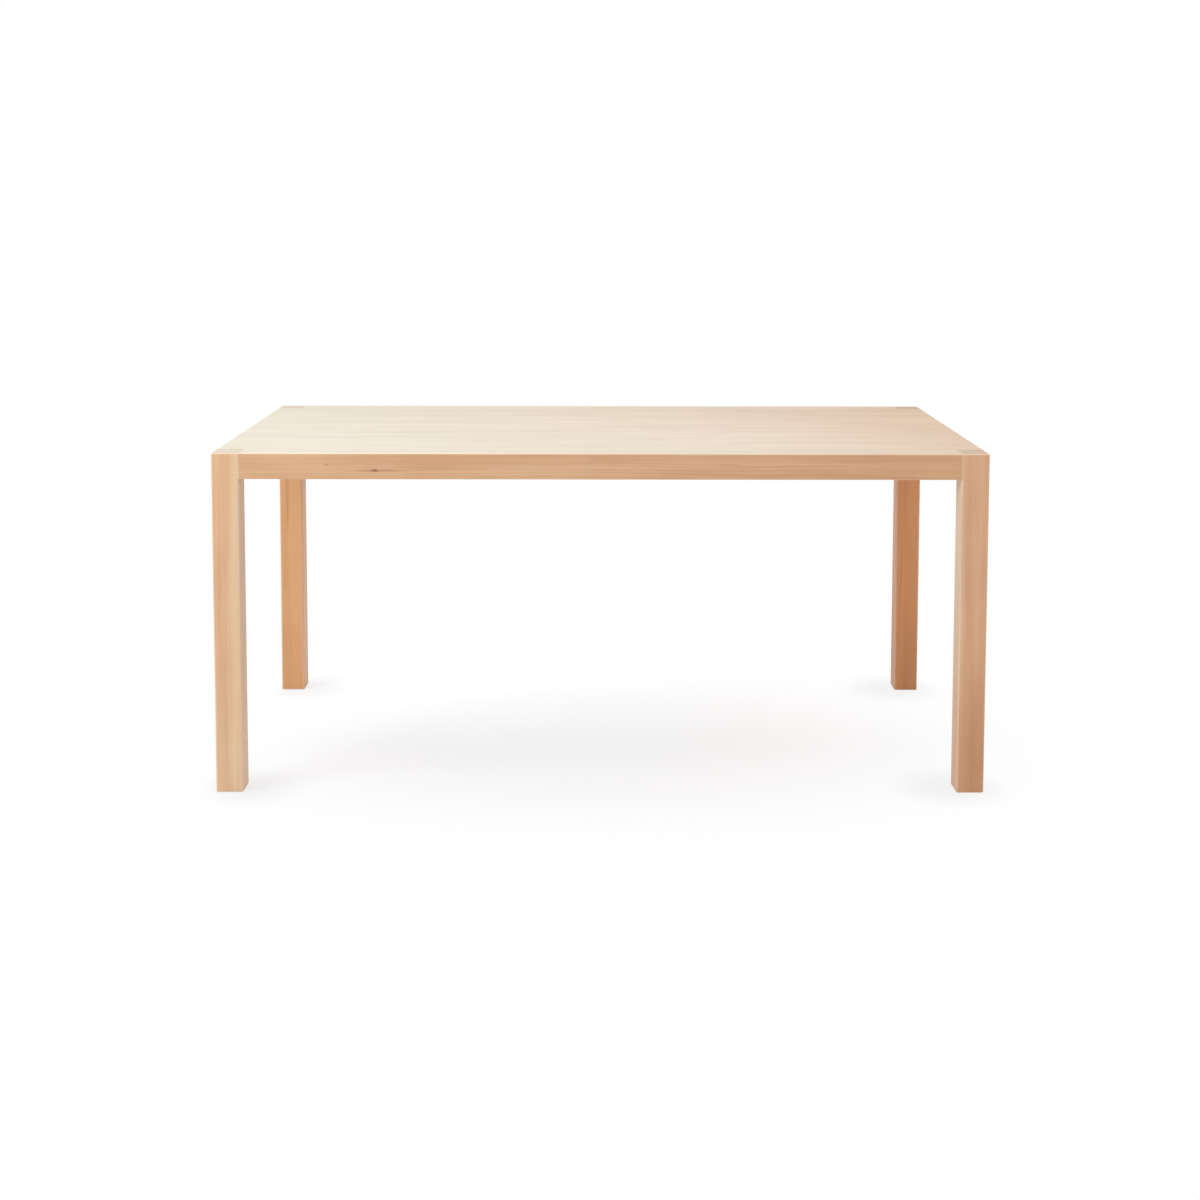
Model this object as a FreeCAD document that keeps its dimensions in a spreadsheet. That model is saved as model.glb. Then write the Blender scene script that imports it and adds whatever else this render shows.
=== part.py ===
import FreeCAD, Part
import math
import os
import Sketcher

# Banquet table of pale solid maple, built as a knock-down frame.
# Four legs run up through the corners of the top, so that their end grain shows there.
# Four rails are tenoned into the legs, and a corner block with a hanger bolt draws each corner tight.
# Seven edge-glued boards make the top, which is free to swell on slotted screws and wooden buttons.
# The origin is on the floor under the middle of the top, with X along the length,
# Y from front to back and Z up. The front is at minus Y. All sizes are in millimetres.

doc = FreeCAD.newDocument("banquet_table")

# Driving dimensions
DRIVING_SIZES = (
    # the whole table
    ("table_length", 1680, "left to right over the legs"),
    ("table_depth", 850, "front to back over the legs"),
    ("table_height", 750, "floor to top surface"),
    ("edge_depth", 57, "edge of the table: top and rail together"),
    ("top_thickness", 22, "boards of the top"),
    ("top_edge_radius", 3.5, "round the top's outer edges"),
    # legs
    ("leg_size", 60, "side of the square leg"),
    ("leg_edge_radius", 4, "along the leg's long edges"),
    ("foot_edge_radius", 2.5, "round the end that meets the floor"),
    ("notch_gap", 0.2, "between a leg and the boards notched round it"),
    # rails and their joints
    ("rail_thickness", 28, "front to back"),
    ("rail_edge_radius", 2, "along the rail's lower outer edge"),
    ("inner_edge_radius", 1.5, "along the lower edges of rails, bearers and blocks inside the frame"),
    ("tenon_parting", 9, "end of one rail's tenon to the cheek of the other, inside the leg"),
    ("tenon_thickness", 10, "rail tenon, cheek to cheek"),
    ("tenon_setback", 9, "outer face of the rail to the tenon's cheek"),
    ("tenon_shoulder", 6, "rail tenon's shoulder above and below"),
    ("mortise_end_gap", 2, "glue room past the end of a tenon"),
    # groove for the buttons
    ("groove_height", 6, "groove inside the rail"),
    ("groove_depth", 8, "groove into the rail"),
    ("groove_drop", 7, "underside of the top to the groove"),
    ("groove_margin", 15, "end of the corner block to the groove"),
    # corner block
    ("seat_flat", 16, "cut off the leg's inner corner, along each face"),
    ("block_thickness", 25, "along the hanger bolt"),
    ("block_lift", 2, "lower edge of the rail to the block"),
    ("block_trim", 7, "cut off the block's thin ends"),
    # hanger bolt, washer and nut
    ("bolt_diameter", 8, "hanger bolt"),
    ("bolt_in_leg", 42, "screw thread in the leg"),
    ("bolt_point", 6, "tapered end of the screw thread"),
    ("bolt_past_nut", 5, "machine thread past the nut"),
    ("bolt_clearance", 1, "on the diameter, through block and washer"),
    ("washer_diameter", 20, "washer under the nut"),
    ("washer_thickness", 1.6, "washer under the nut"),
    ("nut_width", 13, "across the flats"),
    ("nut_thickness", 6.5, "along the bolt"),
    # wood screws
    ("block_screw_diameter", 4.2, "corner block to rail"),
    ("block_screw_head", 8.4, "diameter"),
    ("block_screw_head_height", 2.8, "above its seat"),
    ("block_screw_wall", 12, "wood between the head and the rail"),
    ("block_screw_bite", 18, "into the rail"),
    ("bearer_screw_diameter", 4.5, "bearer to board"),
    ("bearer_screw_head", 9, "diameter"),
    ("bearer_screw_head_height", 3, "above its seat"),
    ("bearer_screw_bite", 15, "into the board"),
    ("button_screw_diameter", 4, "button to board"),
    ("button_screw_head", 7.6, "diameter"),
    ("button_screw_head_height", 2.2, "depth of the countersunk head"),
    ("button_screw_bite", 13.5, "into the board"),
    ("screw_point", 4, "tapered end of every wood screw"),
    ("screw_clearance", 0.5, "on the diameter, where a screw passes"),
    ("head_clearance", 1.6, "on the diameter, round a sunk head"),
    # cross bearers
    ("bearer_width", 45, "along the table"),
    ("bearer_lift", 7, "lower edge of the rail to the bearer"),
    ("bearer_tenon_length", 14, "shoulder to end"),
    ("bearer_tenon_height", 10, "up and down"),
    ("bearer_tenon_lift", 2, "underside of the bearer to its tenon"),
    ("bearer_tenon_shoulder", 6, "each side of the tenon"),
    ("slot_travel", 7, "room for a board to move at a bearer screw"),
    ("slot_sink", 8, "depth of the recess for the screw's head"),
    # buttons
    ("button_reach", 30, "body, away from the rail"),
    ("button_width", 26, "along the rail"),
    ("button_thickness", 18, "body, up and down"),
    ("button_bevel", 5, "off the lower end"),
    ("button_face_gap", 1.5, "rail to the body of the button"),
    ("button_top_gap", 0.5, "body of the button to the top"),
    ("tongue_thickness", 5.5, "tongue of the button"),
    ("tongue_end_gap", 1.5, "tongue to the bottom of the groove"),
    # glides under the feet
    ("glide_height", 1.5, "floor to the foot"),
    ("glide_diameter", 26, "under the middle of the foot"),
    ("glide_rim", 0.8, "thickness at the glide's edge"),
    ("nail_diameter", 2.4, "glide's nail"),
    ("nail_length", 14, "glide to the nail's point"),
)

# Widths of the top's boards from front to back, as shares of the table's depth
BOARD_WIDTH_SHARES = (0.148, 0.137, 0.151, 0.128, 0.146, 0.139, 0.151)
# Places along half the long rail, from its middle
BEARER_PLACE_SHARES = (-0.5, 0, 0.5)
LONG_BUTTON_PLACE_SHARES = (-0.75, -0.25, 0.25, 0.75)
# Place of the block's screw along its foot on the rail, and of the button's screw along its body
BLOCK_SCREW_PLACE_SHARE = 0.6
BUTTON_SCREW_PLACE_SHARE = 0.5
# A screw head's crown, and the largest part of an arris that a rounding across it may take
CROWN_WIDTH_SHARE = 0.6
CROWN_HEIGHT_SHARE = 0.5
ARRIS_LIMIT_SHARE = 0.9
# Boards that the buttons of the side rails hold
SIDE_BUTTON_BOARDS = ("top_board_3", "top_board_5")
# Corners by name, with the side of X and of Y that they are on and their turn in degrees;
# a leg and a block are each one shape, symmetric about the corner's diagonal, turned to fit
CORNERS = (
    ("front_left", -1, -1, 0),
    ("front_right", 1, -1, 90),
    ("back_right", 1, 1, 180),
    ("back_left", -1, 1, 270),
)
# Turns in degrees: from a rail to the corner's diagonal, and from X to a block's two screws
HALF_RIGHT_ANGLE = 45
FIRST_SCREW_TURN = 270
SECOND_SCREW_TURN = 180
# Two places nearer than this are the same place
SAME_PLACE = 0.001

sizes = doc.addObject("Spreadsheet::Sheet", "sizes")
for row, (alias, number, note) in enumerate(DRIVING_SIZES, start=1):
    sizes.set(f"A{row}", alias)
    sizes.set(f"B{row}", str(number))
    sizes.setAlias(f"B{row}", alias)
    sizes.set(f"C{row}", note)
doc.recompute()

# Places that several pieces share, as formulas on the sheet
RAIL_DEPTH = "(sizes.edge_depth - sizes.top_thickness)"
RAIL_BOTTOM = "(sizes.table_height - sizes.edge_depth)"
TOP_UNDERSIDE = "(sizes.table_height - sizes.top_thickness)"
BOLT_LEVEL = f"({RAIL_BOTTOM} + {RAIL_DEPTH} / 2)"
LONG_SHOULDERS = "(sizes.table_length - 2 * sizes.leg_size)"
SHORT_SHOULDERS = "(sizes.table_depth - 2 * sizes.leg_size)"
SEAT_MIDDLE = "(sizes.leg_size - sizes.seat_flat / 2)"
BLOCK_OUTER_SUM = "(2 * sizes.leg_size - sizes.seat_flat)"
BLOCK_INNER_SUM = f"({BLOCK_OUTER_SUM} + sizes.block_thickness * sqrt(2))"
BLOCK_NEAR_END = f"({BLOCK_OUTER_SUM} - sizes.rail_thickness)"
BLOCK_FAR_END = f"({BLOCK_INNER_SUM} - sizes.rail_thickness - sizes.block_trim)"
BLOCK_SCREW_PLACE = f"({BLOCK_NEAR_END} + {BLOCK_SCREW_PLACE_SHARE} * ({BLOCK_FAR_END} - {BLOCK_NEAR_END}))"
BLOCK_SCREW_SETBACK = f"({BLOCK_SCREW_PLACE} - sizes.leg_size)"
BLOCK_SCREW_LENGTH = "(sizes.block_screw_wall + sizes.block_screw_bite)"
TENON_LENGTH = "(sizes.leg_size - sizes.tenon_setback - sizes.tenon_thickness - sizes.tenon_parting)"
GROOVE_STOP = f"({BLOCK_FAR_END} - sizes.leg_size + sizes.groove_margin)"
BEARER_DEPTH = f"({RAIL_DEPTH} - sizes.bearer_lift)"
BEARER_BOTTOM = f"({RAIL_BOTTOM} + sizes.bearer_lift)"
BEARER_SCREW_LENGTH = f"({BEARER_DEPTH} - sizes.slot_sink + sizes.bearer_screw_bite)"
BUTTON_SCREW_REACH = f"(sizes.button_face_gap + {BUTTON_SCREW_PLACE_SHARE} * sizes.button_reach)"
BUTTON_SCREW_LENGTH = "(sizes.button_thickness + sizes.button_top_gap + sizes.button_screw_bite)"

node_objects = []


# Helpers for sketches and features
def value(formula):
    """The number that a formula on the sheet gives now."""
    return float(sizes.evalExpression(formula))


def new_body(name, is_node=True):
    body = doc.addObject("PartDesign::Body", name)
    body.Label = name
    if is_node:
        node_objects.append(body)
    return body


def new_sketch(body, name, plane, offset="0"):
    """A sketch on one of the body's own origin planes, moved along that plane's normal."""
    sketch = body.newObject("Sketcher::SketchObject", name)
    origin_plane = next(f for f in body.Origin.OriginFeatures if f.Role == plane)
    sketch.AttachmentSupport = [(origin_plane, "")]
    sketch.MapMode = "FlatFace"
    sketch.setExpression("AttachmentOffset.Base.z", offset)
    return sketch


def new_bolt_sketch(body, name):
    """A sketch square to the hanger bolt, on the leg's flat, with its origin on the bolt's axis."""
    sketch = new_sketch(body, name, "YZ_Plane", SEAT_MIDDLE)
    across_corner = FreeCAD.Rotation(FreeCAD.Vector(0, 1, 0), HALF_RIGHT_ANGLE)
    sketch.AttachmentOffset = FreeCAD.Placement(FreeCAD.Vector(), across_corner)
    sketch.setExpression("AttachmentOffset.Base.x", SEAT_MIDDLE)
    sketch.setExpression("AttachmentOffset.Base.y", BOLT_LEVEL)
    return sketch


def pin_point(sketch, geometry, point, x, y):
    """Holds a point of the sketch at x and y, two formulas measured from the origin."""
    for kind, axis, formula in (("DistanceX", -2, x), ("DistanceY", -1, y)):
        if formula == "0":
            sketch.addConstraint(Sketcher.Constraint("PointOnObject", geometry, point, axis))
            continue
        rule = Sketcher.Constraint(kind, -1, 1, geometry, point, value(formula))
        index = sketch.addConstraint(rule)
        sketch.setExpression(f"Constraints[{index}]", formula)


def draw_outline(sketch, points):
    """A closed outline of straight lines through points given as pairs of formulas."""
    first = sketch.GeometryCount
    count = len(points)
    corners = [FreeCAD.Vector(value(x), value(y), 0) for x, y in points]
    for i in range(count):
        sketch.addGeometry(Part.LineSegment(corners[i], corners[(i + 1) % count]))
    for i in range(count):
        following = first + (i + 1) % count
        sketch.addConstraint(Sketcher.Constraint("Coincident", first + i, 2, following, 1))
    for i, (x, y) in enumerate(points):
        pin_point(sketch, first + i, 1, x, y)


def draw_rectangle(sketch, x_low, y_low, x_high, y_high):
    draw_outline(sketch, ((x_low, y_low), (x_high, y_low), (x_high, y_high), (x_low, y_high)))


def draw_circle(sketch, x, y, diameter):
    center = FreeCAD.Vector(value(x), value(y), 0)
    circle = Part.Circle(center, FreeCAD.Vector(0, 0, 1), value(diameter) / 2)
    geometry = sketch.addGeometry(circle)
    pin_point(sketch, geometry, 3, x, y)
    rule = Sketcher.Constraint("Diameter", geometry, value(diameter))
    sketch.setExpression(f"Constraints[{sketch.addConstraint(rule)}]", diameter)


def draw_slot(sketch, x, y, travel, width):
    """A round-ended slot that runs along the sketch's Y, centred on x and y."""
    low = f"{y} - {travel} / 2"
    high = f"{y} + {travel} / 2"
    radius = value(width) / 2
    normal = FreeCAD.Vector(0, 0, 1)
    low_center = FreeCAD.Vector(value(x), value(low), 0)
    high_center = FreeCAD.Vector(value(x), value(high), 0)
    aside = FreeCAD.Vector(radius, 0, 0)
    low_circle = Part.Circle(low_center, normal, radius)
    high_circle = Part.Circle(high_center, normal, radius)
    lower = sketch.addGeometry(Part.ArcOfCircle(low_circle, math.pi, 2 * math.pi))
    right = sketch.addGeometry(Part.LineSegment(low_center + aside, high_center + aside))
    upper = sketch.addGeometry(Part.ArcOfCircle(high_circle, 0, math.pi))
    left = sketch.addGeometry(Part.LineSegment(high_center - aside, low_center - aside))
    ring = (lower, right, upper, left)
    for piece, following in zip(ring, ring[1:] + ring[:1]):
        sketch.addConstraint(Sketcher.Constraint("Tangent", piece, 2, following, 1))
    sketch.addConstraint(Sketcher.Constraint("Equal", lower, upper))
    pin_point(sketch, lower, 3, x, low)
    pin_point(sketch, upper, 3, x, high)
    rule = Sketcher.Constraint("Radius", lower, radius)
    sketch.setExpression(f"Constraints[{sketch.addConstraint(rule)}]", f"{width} / 2")


def pad(body, name, sketch, length, both_ways=False):
    feature = body.newObject("PartDesign::Pad", name)
    feature.Profile = sketch
    if both_ways:
        feature.SideType = "Symmetric"
    feature.setExpression("Length", length)
    doc.recompute()
    return feature


def pocket(body, name, sketch, depth, reverse=False):
    """Cuts the sketch into the body, and stops if nothing was cut. Depth "through" has no end."""
    before = body.Shape.Volume
    feature = body.newObject("PartDesign::Pocket", name)
    feature.Profile = sketch
    feature.Reversed = reverse
    if depth == "through":
        feature.Type = "ThroughAll"
    else:
        feature.setExpression("Length", depth)
    doc.recompute()
    if not body.Shape.Volume < before:
        raise RuntimeError(f"{body.Name}: {name} cuts nothing")
    return feature


def revolve(body, name, sketch, axis):
    feature = body.newObject("PartDesign::Revolution", name)
    feature.Profile = sketch
    feature.ReferenceAxis = (sketch, [axis])
    feature.Angle = 360
    doc.recompute()
    return feature


def edges_at(shape, **places):
    """Names of the edges that lie wholly at the given x, y or z, each a number."""
    found = []
    for number, edge in enumerate(shape.Edges, start=1):
        box = edge.BoundBox
        spans = {"x": (box.XMin, box.XMax), "y": (box.YMin, box.YMax), "z": (box.ZMin, box.ZMax)}
        distances = [abs(end - places[axis]) for axis in places for end in spans[axis]]
        if max(distances) < SAME_PLACE:
            found.append(f"Edge{number}")
    return found


def round_edges(body, name, places, radius):
    """Rounds the edges found at each set of places."""
    base = body.Tip
    chosen = [edge for at in places for edge in edges_at(base.Shape, **at)]
    if not chosen:
        raise RuntimeError(f"{body.Name}: {name} finds no edge")
    feature = body.newObject("PartDesign::Fillet", name)
    feature.Base = (base, chosen)
    feature.setExpression("Radius", radius)
    doc.recompute()
    return feature


def place(piece, x, y, z, turn=0):
    """Puts a piece at x, y and z, three formulas, turned about the vertical."""
    about_vertical = FreeCAD.Rotation(FreeCAD.Vector(0, 0, 1), turn)
    piece.Placement = FreeCAD.Placement(FreeCAD.Vector(), about_vertical)
    for axis, formula in (("x", x), ("y", y), ("z", z)):
        piece.setExpression(f"Placement.Base.{axis}", formula)


def corner_place(corner, x, y):
    """Formulas for the table's X and Y of a point measured inward from a corner's outer edge."""
    side_x, side_y, turn = corner[1:]
    cosine = round(math.cos(math.radians(turn)))
    sine = round(math.sin(math.radians(turn)))
    along = f"{side_x} * sizes.table_length / 2 + ({cosine}) * ({x}) - ({sine}) * ({y})"
    across = f"{side_y} * sizes.table_depth / 2 + ({sine}) * ({x}) + ({cosine}) * ({y})"
    return along, across


def new_group(name, template, places):
    """One node of separate alike solids: a link to the template at each place, gathered."""
    links = []
    for number, (x, y, z, turn) in enumerate(places, start=1):
        link = doc.addObject("App::Link", f"{template.Name}_{number}")
        link.LinkedObject = template
        place(link, x, y, z, turn)
        links.append(link)
    group = doc.addObject("Part::Compound", name)
    group.Label = name
    group.Links = links
    node_objects.append(group)
    return group


# Legs
def make_leg(corner):
    """A leg, with its outer edge on the vertical axis and its faces inward along X and Y."""
    leg = new_body(f"leg_{corner[0]}")
    size = "sizes.leg_size"

    shaft_outline = new_sketch(leg, "shaft_outline", "XY_Plane", "sizes.glide_height")
    draw_rectangle(shaft_outline, "0", "0", size, size)
    pad(leg, "shaft", shaft_outline, f"{RAIL_BOTTOM} - sizes.glide_height")
    far = value(size)
    inner_edges = ({"x": far, "y": 0}, {"x": 0, "y": far}, {"x": far, "y": far})
    round_edges(leg, "shaft_arrises", inner_edges, "sizes.leg_edge_radius")

    # between the rails the inner corner is a flat, which the corner block bears on
    seat_outline = new_sketch(leg, "seat_outline", "XY_Plane", RAIL_BOTTOM)
    flat_start = "sizes.leg_size - sizes.seat_flat"
    seat_points = (("0", "0"), (size, "0"), (size, flat_start), (flat_start, size), ("0", size))
    draw_outline(seat_outline, seat_points)
    pad(leg, "seat", seat_outline, RAIL_DEPTH)

    head_outline = new_sketch(leg, "head_outline", "XY_Plane", TOP_UNDERSIDE)
    draw_rectangle(head_outline, "0", "0", size, size)
    pad(leg, "head", head_outline, "sizes.top_thickness")

    # one mortise for the rail along X, and its mirror for the rail along Y
    cheek_low = "sizes.tenon_setback"
    cheek_high = "sizes.tenon_setback + sizes.tenon_thickness"
    tenon_low = f"{RAIL_BOTTOM} + sizes.tenon_shoulder"
    tenon_high = f"{TOP_UNDERSIDE} - sizes.tenon_shoulder"
    mortise_depth = f"{TENON_LENGTH} + sizes.mortise_end_gap"
    first_mortise = new_sketch(leg, "first_mortise_outline", "YZ_Plane", size)
    draw_rectangle(first_mortise, cheek_low, tenon_low, cheek_high, tenon_high)
    pocket(leg, "first_mortise", first_mortise, mortise_depth)
    second_mortise = new_sketch(leg, "second_mortise_outline", "XZ_Plane", f"-{size}")
    draw_rectangle(second_mortise, cheek_low, tenon_low, cheek_high, tenon_high)
    pocket(leg, "second_mortise", second_mortise, mortise_depth, reverse=True)

    bolt_pilot = new_bolt_sketch(leg, "bolt_pilot_outline")
    draw_circle(bolt_pilot, "0", "0", "sizes.bolt_diameter")
    pocket(leg, "bolt_pilot", bolt_pilot, "sizes.bolt_in_leg")

    nail_hole = new_sketch(leg, "nail_hole_outline", "XY_Plane", "sizes.glide_height")
    draw_circle(nail_hole, f"{size} / 2", f"{size} / 2", "sizes.nail_diameter")
    pocket(leg, "nail_hole", nail_hole, "sizes.nail_length", reverse=True)

    round_edges(leg, "outer_arris", ({"x": 0, "y": 0},), "sizes.leg_edge_radius")
    foot = value("sizes.glide_height")
    head = value("sizes.table_height")
    foot_edges = [{side: reach, "z": foot} for side in ("x", "y") for reach in (0, far)]
    within_arris = f"{ARRIS_LIMIT_SHARE} * sizes.leg_edge_radius"
    round_edges(leg, "foot_rounding", foot_edges, f"min(sizes.foot_edge_radius; {within_arris})")
    head_edges = ({"x": 0, "z": head}, {"y": 0, "z": head})
    round_edges(leg, "top_rounding", head_edges, f"min(sizes.top_edge_radius; {within_arris})")

    place(leg, *corner_place(corner, "0", "0"), "0", corner[3])


# Rails
def make_rail(name, shoulders, place_at, turn, carries_bearers):
    """A rail, with X along it from its middle, its outer face at zero Y and its lower face at zero Z."""
    rail = new_body(name)
    half = f"{shoulders} / 2"

    section = new_sketch(rail, "rail_section", "YZ_Plane")
    draw_rectangle(section, "0", "0", "sizes.rail_thickness", RAIL_DEPTH)
    pad(rail, "rail", section, shoulders, both_ways=True)
    round_edges(rail, "lower_arris", ({"y": 0, "z": 0},), "sizes.rail_edge_radius")
    inner_edge = {"y": value("sizes.rail_thickness"), "z": 0}
    round_edges(rail, "inner_arris", (inner_edge,), "sizes.inner_edge_radius")

    tenon_section = new_sketch(rail, "tenon_section", "YZ_Plane")
    cheek_high = "sizes.tenon_setback + sizes.tenon_thickness"
    tenon_high = f"{RAIL_DEPTH} - sizes.tenon_shoulder"
    draw_rectangle(tenon_section, "sizes.tenon_setback", "sizes.tenon_shoulder", cheek_high, tenon_high)
    pad(rail, "tenons", tenon_section, f"{shoulders} + 2 * {TENON_LENGTH}", both_ways=True)

    # the inner face looks along plus Y, and its sketches are cut towards minus Y
    inner_face = "-sizes.rail_thickness"
    groove = new_sketch(rail, "button_groove_outline", "XZ_Plane", inner_face)
    groove_high = f"{RAIL_DEPTH} - sizes.groove_drop"
    groove_low = f"{groove_high} - sizes.groove_height"
    draw_rectangle(groove, f"-({half} - {GROOVE_STOP})", groove_low, f"{half} - {GROOVE_STOP}", groove_high)
    pocket(rail, "button_groove", groove, "sizes.groove_depth", reverse=True)

    pilots = new_sketch(rail, "block_screw_pilot_outlines", "XZ_Plane", inner_face)
    for side in (-1, 1):
        pilot_x = f"{side} * ({half} - {BLOCK_SCREW_SETBACK})"
        draw_circle(pilots, pilot_x, f"{RAIL_DEPTH} / 2", "sizes.block_screw_diameter")
    pocket(rail, "block_screw_pilots", pilots, "sizes.block_screw_bite", reverse=True)

    if carries_bearers:
        mortises = new_sketch(rail, "bearer_mortise_outlines", "XZ_Plane", inner_face)
        mortise_half = "(sizes.bearer_width / 2 - sizes.bearer_tenon_shoulder)"
        mortise_low = "sizes.bearer_lift + sizes.bearer_tenon_lift"
        for share in BEARER_PLACE_SHARES:
            middle = f"{share} * {half}"
            draw_rectangle(mortises, f"{middle} - {mortise_half}", mortise_low,
                           f"{middle} + {mortise_half}", f"{mortise_low} + sizes.bearer_tenon_height")
        bearer_mortise_depth = "sizes.bearer_tenon_length + sizes.mortise_end_gap"
        pocket(rail, "bearer_mortises", mortises, bearer_mortise_depth, reverse=True)

    place(rail, *place_at, RAIL_BOTTOM, turn)


# Boards of the top
def board_name(number):
    return f"top_board_{number + 1}"


def board_front(number):
    """Share of the depth in front of a board."""
    return round(sum(BOARD_WIDTH_SHARES[:number]), 6)


def board_middle(number):
    """Formula for the table's Y of a board's middle."""
    share = board_front(number) + BOARD_WIDTH_SHARES[number] / 2
    return f"({share} - 0.5) * sizes.table_depth"


def make_board(number):
    """A board, with its underside at zero Z, its front edge at zero Y and X from its middle."""
    board = new_body(board_name(number))
    is_front = number == 0
    is_back = number == len(BOARD_WIDTH_SHARES) - 1
    width = f"({BOARD_WIDTH_SHARES[number]} * sizes.table_depth)"
    half = "(sizes.table_length / 2)"
    notch = "(sizes.leg_size + sizes.notch_gap)"
    end = f"{half} - {notch}"

    plan = new_sketch(board, "board_plan", "XY_Plane")
    if is_front:
        points = ((f"-({end})", "0"), (end, "0"), (end, notch), (half, notch), (half, width),
                  (f"-{half}", width), (f"-{half}", notch), (f"-({end})", notch))
    elif is_back:
        inner = f"{width} - {notch}"
        points = ((f"-{half}", "0"), (half, "0"), (half, inner), (end, inner), (end, width),
                  (f"-({end})", width), (f"-({end})", inner), (f"-{half}", inner))
    else:
        points = ((f"-{half}", "0"), (half, "0"), (half, width), (f"-{half}", width))
    draw_outline(plan, points)
    pad(board, "board", plan, "sizes.top_thickness")

    pilots = new_sketch(board, "bearer_pilot_outlines", "XY_Plane")
    for share in BEARER_PLACE_SHARES:
        bearer_x = f"{share} * {LONG_SHOULDERS} / 2" if share else "0"
        draw_circle(pilots, bearer_x, f"{width} / 2", "sizes.bearer_screw_diameter")
    pocket(board, "bearer_pilots", pilots, "sizes.bearer_screw_bite", reverse=True)

    button_spots = []
    rail_to_screw = f"sizes.rail_thickness + {BUTTON_SCREW_REACH}"
    if is_front or is_back:
        spot_y = rail_to_screw if is_front else f"{width} - ({rail_to_screw})"
        for share in LONG_BUTTON_PLACE_SHARES:
            button_spots.append((f"{share} * {LONG_SHOULDERS} / 2", spot_y))
    if board_name(number) in SIDE_BUTTON_BOARDS:
        for side in (-1, 1):
            button_spots.append((f"{side} * ({half} - ({rail_to_screw}))", f"{width} / 2"))
    if button_spots:
        button_pilots = new_sketch(board, "button_pilot_outlines", "XY_Plane")
        for spot_x, spot_y in button_spots:
            draw_circle(button_pilots, spot_x, spot_y, "sizes.button_screw_diameter")
        pocket(board, "button_pilots", button_pilots, "sizes.button_screw_bite", reverse=True)

    upper = value("sizes.top_thickness")
    reach = value(half)
    outer_edges = [{"x": -reach, "z": upper}, {"x": reach, "z": upper}]
    if is_front:
        outer_edges.append({"y": 0, "z": upper})
    if is_back:
        outer_edges.append({"y": value(width), "z": upper})
    within_arris = f"{ARRIS_LIMIT_SHARE} * sizes.leg_edge_radius"
    round_edges(board, "top_rounding", outer_edges, f"min(sizes.top_edge_radius; {within_arris})")

    front_y = f"({board_front(number)} - 0.5) * sizes.table_depth"
    place(board, "0", front_y, TOP_UNDERSIDE)


# Cross bearers
def make_bearer(name, share):
    """A bearer, with its length along Y from its middle and its lower face at zero Z."""
    bearer = new_body(name)
    between_rails = "(sizes.table_depth - 2 * sizes.rail_thickness)"

    section = new_sketch(bearer, "bearer_section", "XZ_Plane")
    draw_rectangle(section, "-sizes.bearer_width / 2", "0", "sizes.bearer_width / 2", BEARER_DEPTH)
    pad(bearer, "bearer", section, between_rails, both_ways=True)
    side = value("sizes.bearer_width / 2")
    lower_edges = ({"x": -side, "z": 0}, {"x": side, "z": 0})
    round_edges(bearer, "lower_arrises", lower_edges, "sizes.inner_edge_radius")

    tenon_section = new_sketch(bearer, "tenon_section", "XZ_Plane")
    tenon_half = "(sizes.bearer_width / 2 - sizes.bearer_tenon_shoulder)"
    tenon_high = "sizes.bearer_tenon_lift + sizes.bearer_tenon_height"
    draw_rectangle(tenon_section, f"-{tenon_half}", "sizes.bearer_tenon_lift", tenon_half, tenon_high)
    pad(bearer, "tenons", tenon_section, f"{between_rails} + 2 * sizes.bearer_tenon_length", both_ways=True)

    # each board is held at its middle through a slot that lets it move front to back
    slots = new_sketch(bearer, "slot_outlines", "XY_Plane")
    recesses = new_sketch(bearer, "recess_outlines", "XY_Plane")
    for number in range(len(BOARD_WIDTH_SHARES)):
        slot_width = "(sizes.bearer_screw_diameter + sizes.screw_clearance)"
        recess_width = "(sizes.bearer_screw_head + sizes.head_clearance)"
        draw_slot(slots, "0", board_middle(number), "sizes.slot_travel", slot_width)
        draw_slot(recesses, "0", board_middle(number), "sizes.slot_travel", recess_width)
    pocket(bearer, "slots", slots, "through", reverse=True)
    pocket(bearer, "recesses", recesses, "sizes.slot_sink", reverse=True)

    bearer_x = f"{share} * {LONG_SHOULDERS} / 2"
    place(bearer, bearer_x, "0", BEARER_BOTTOM)


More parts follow.
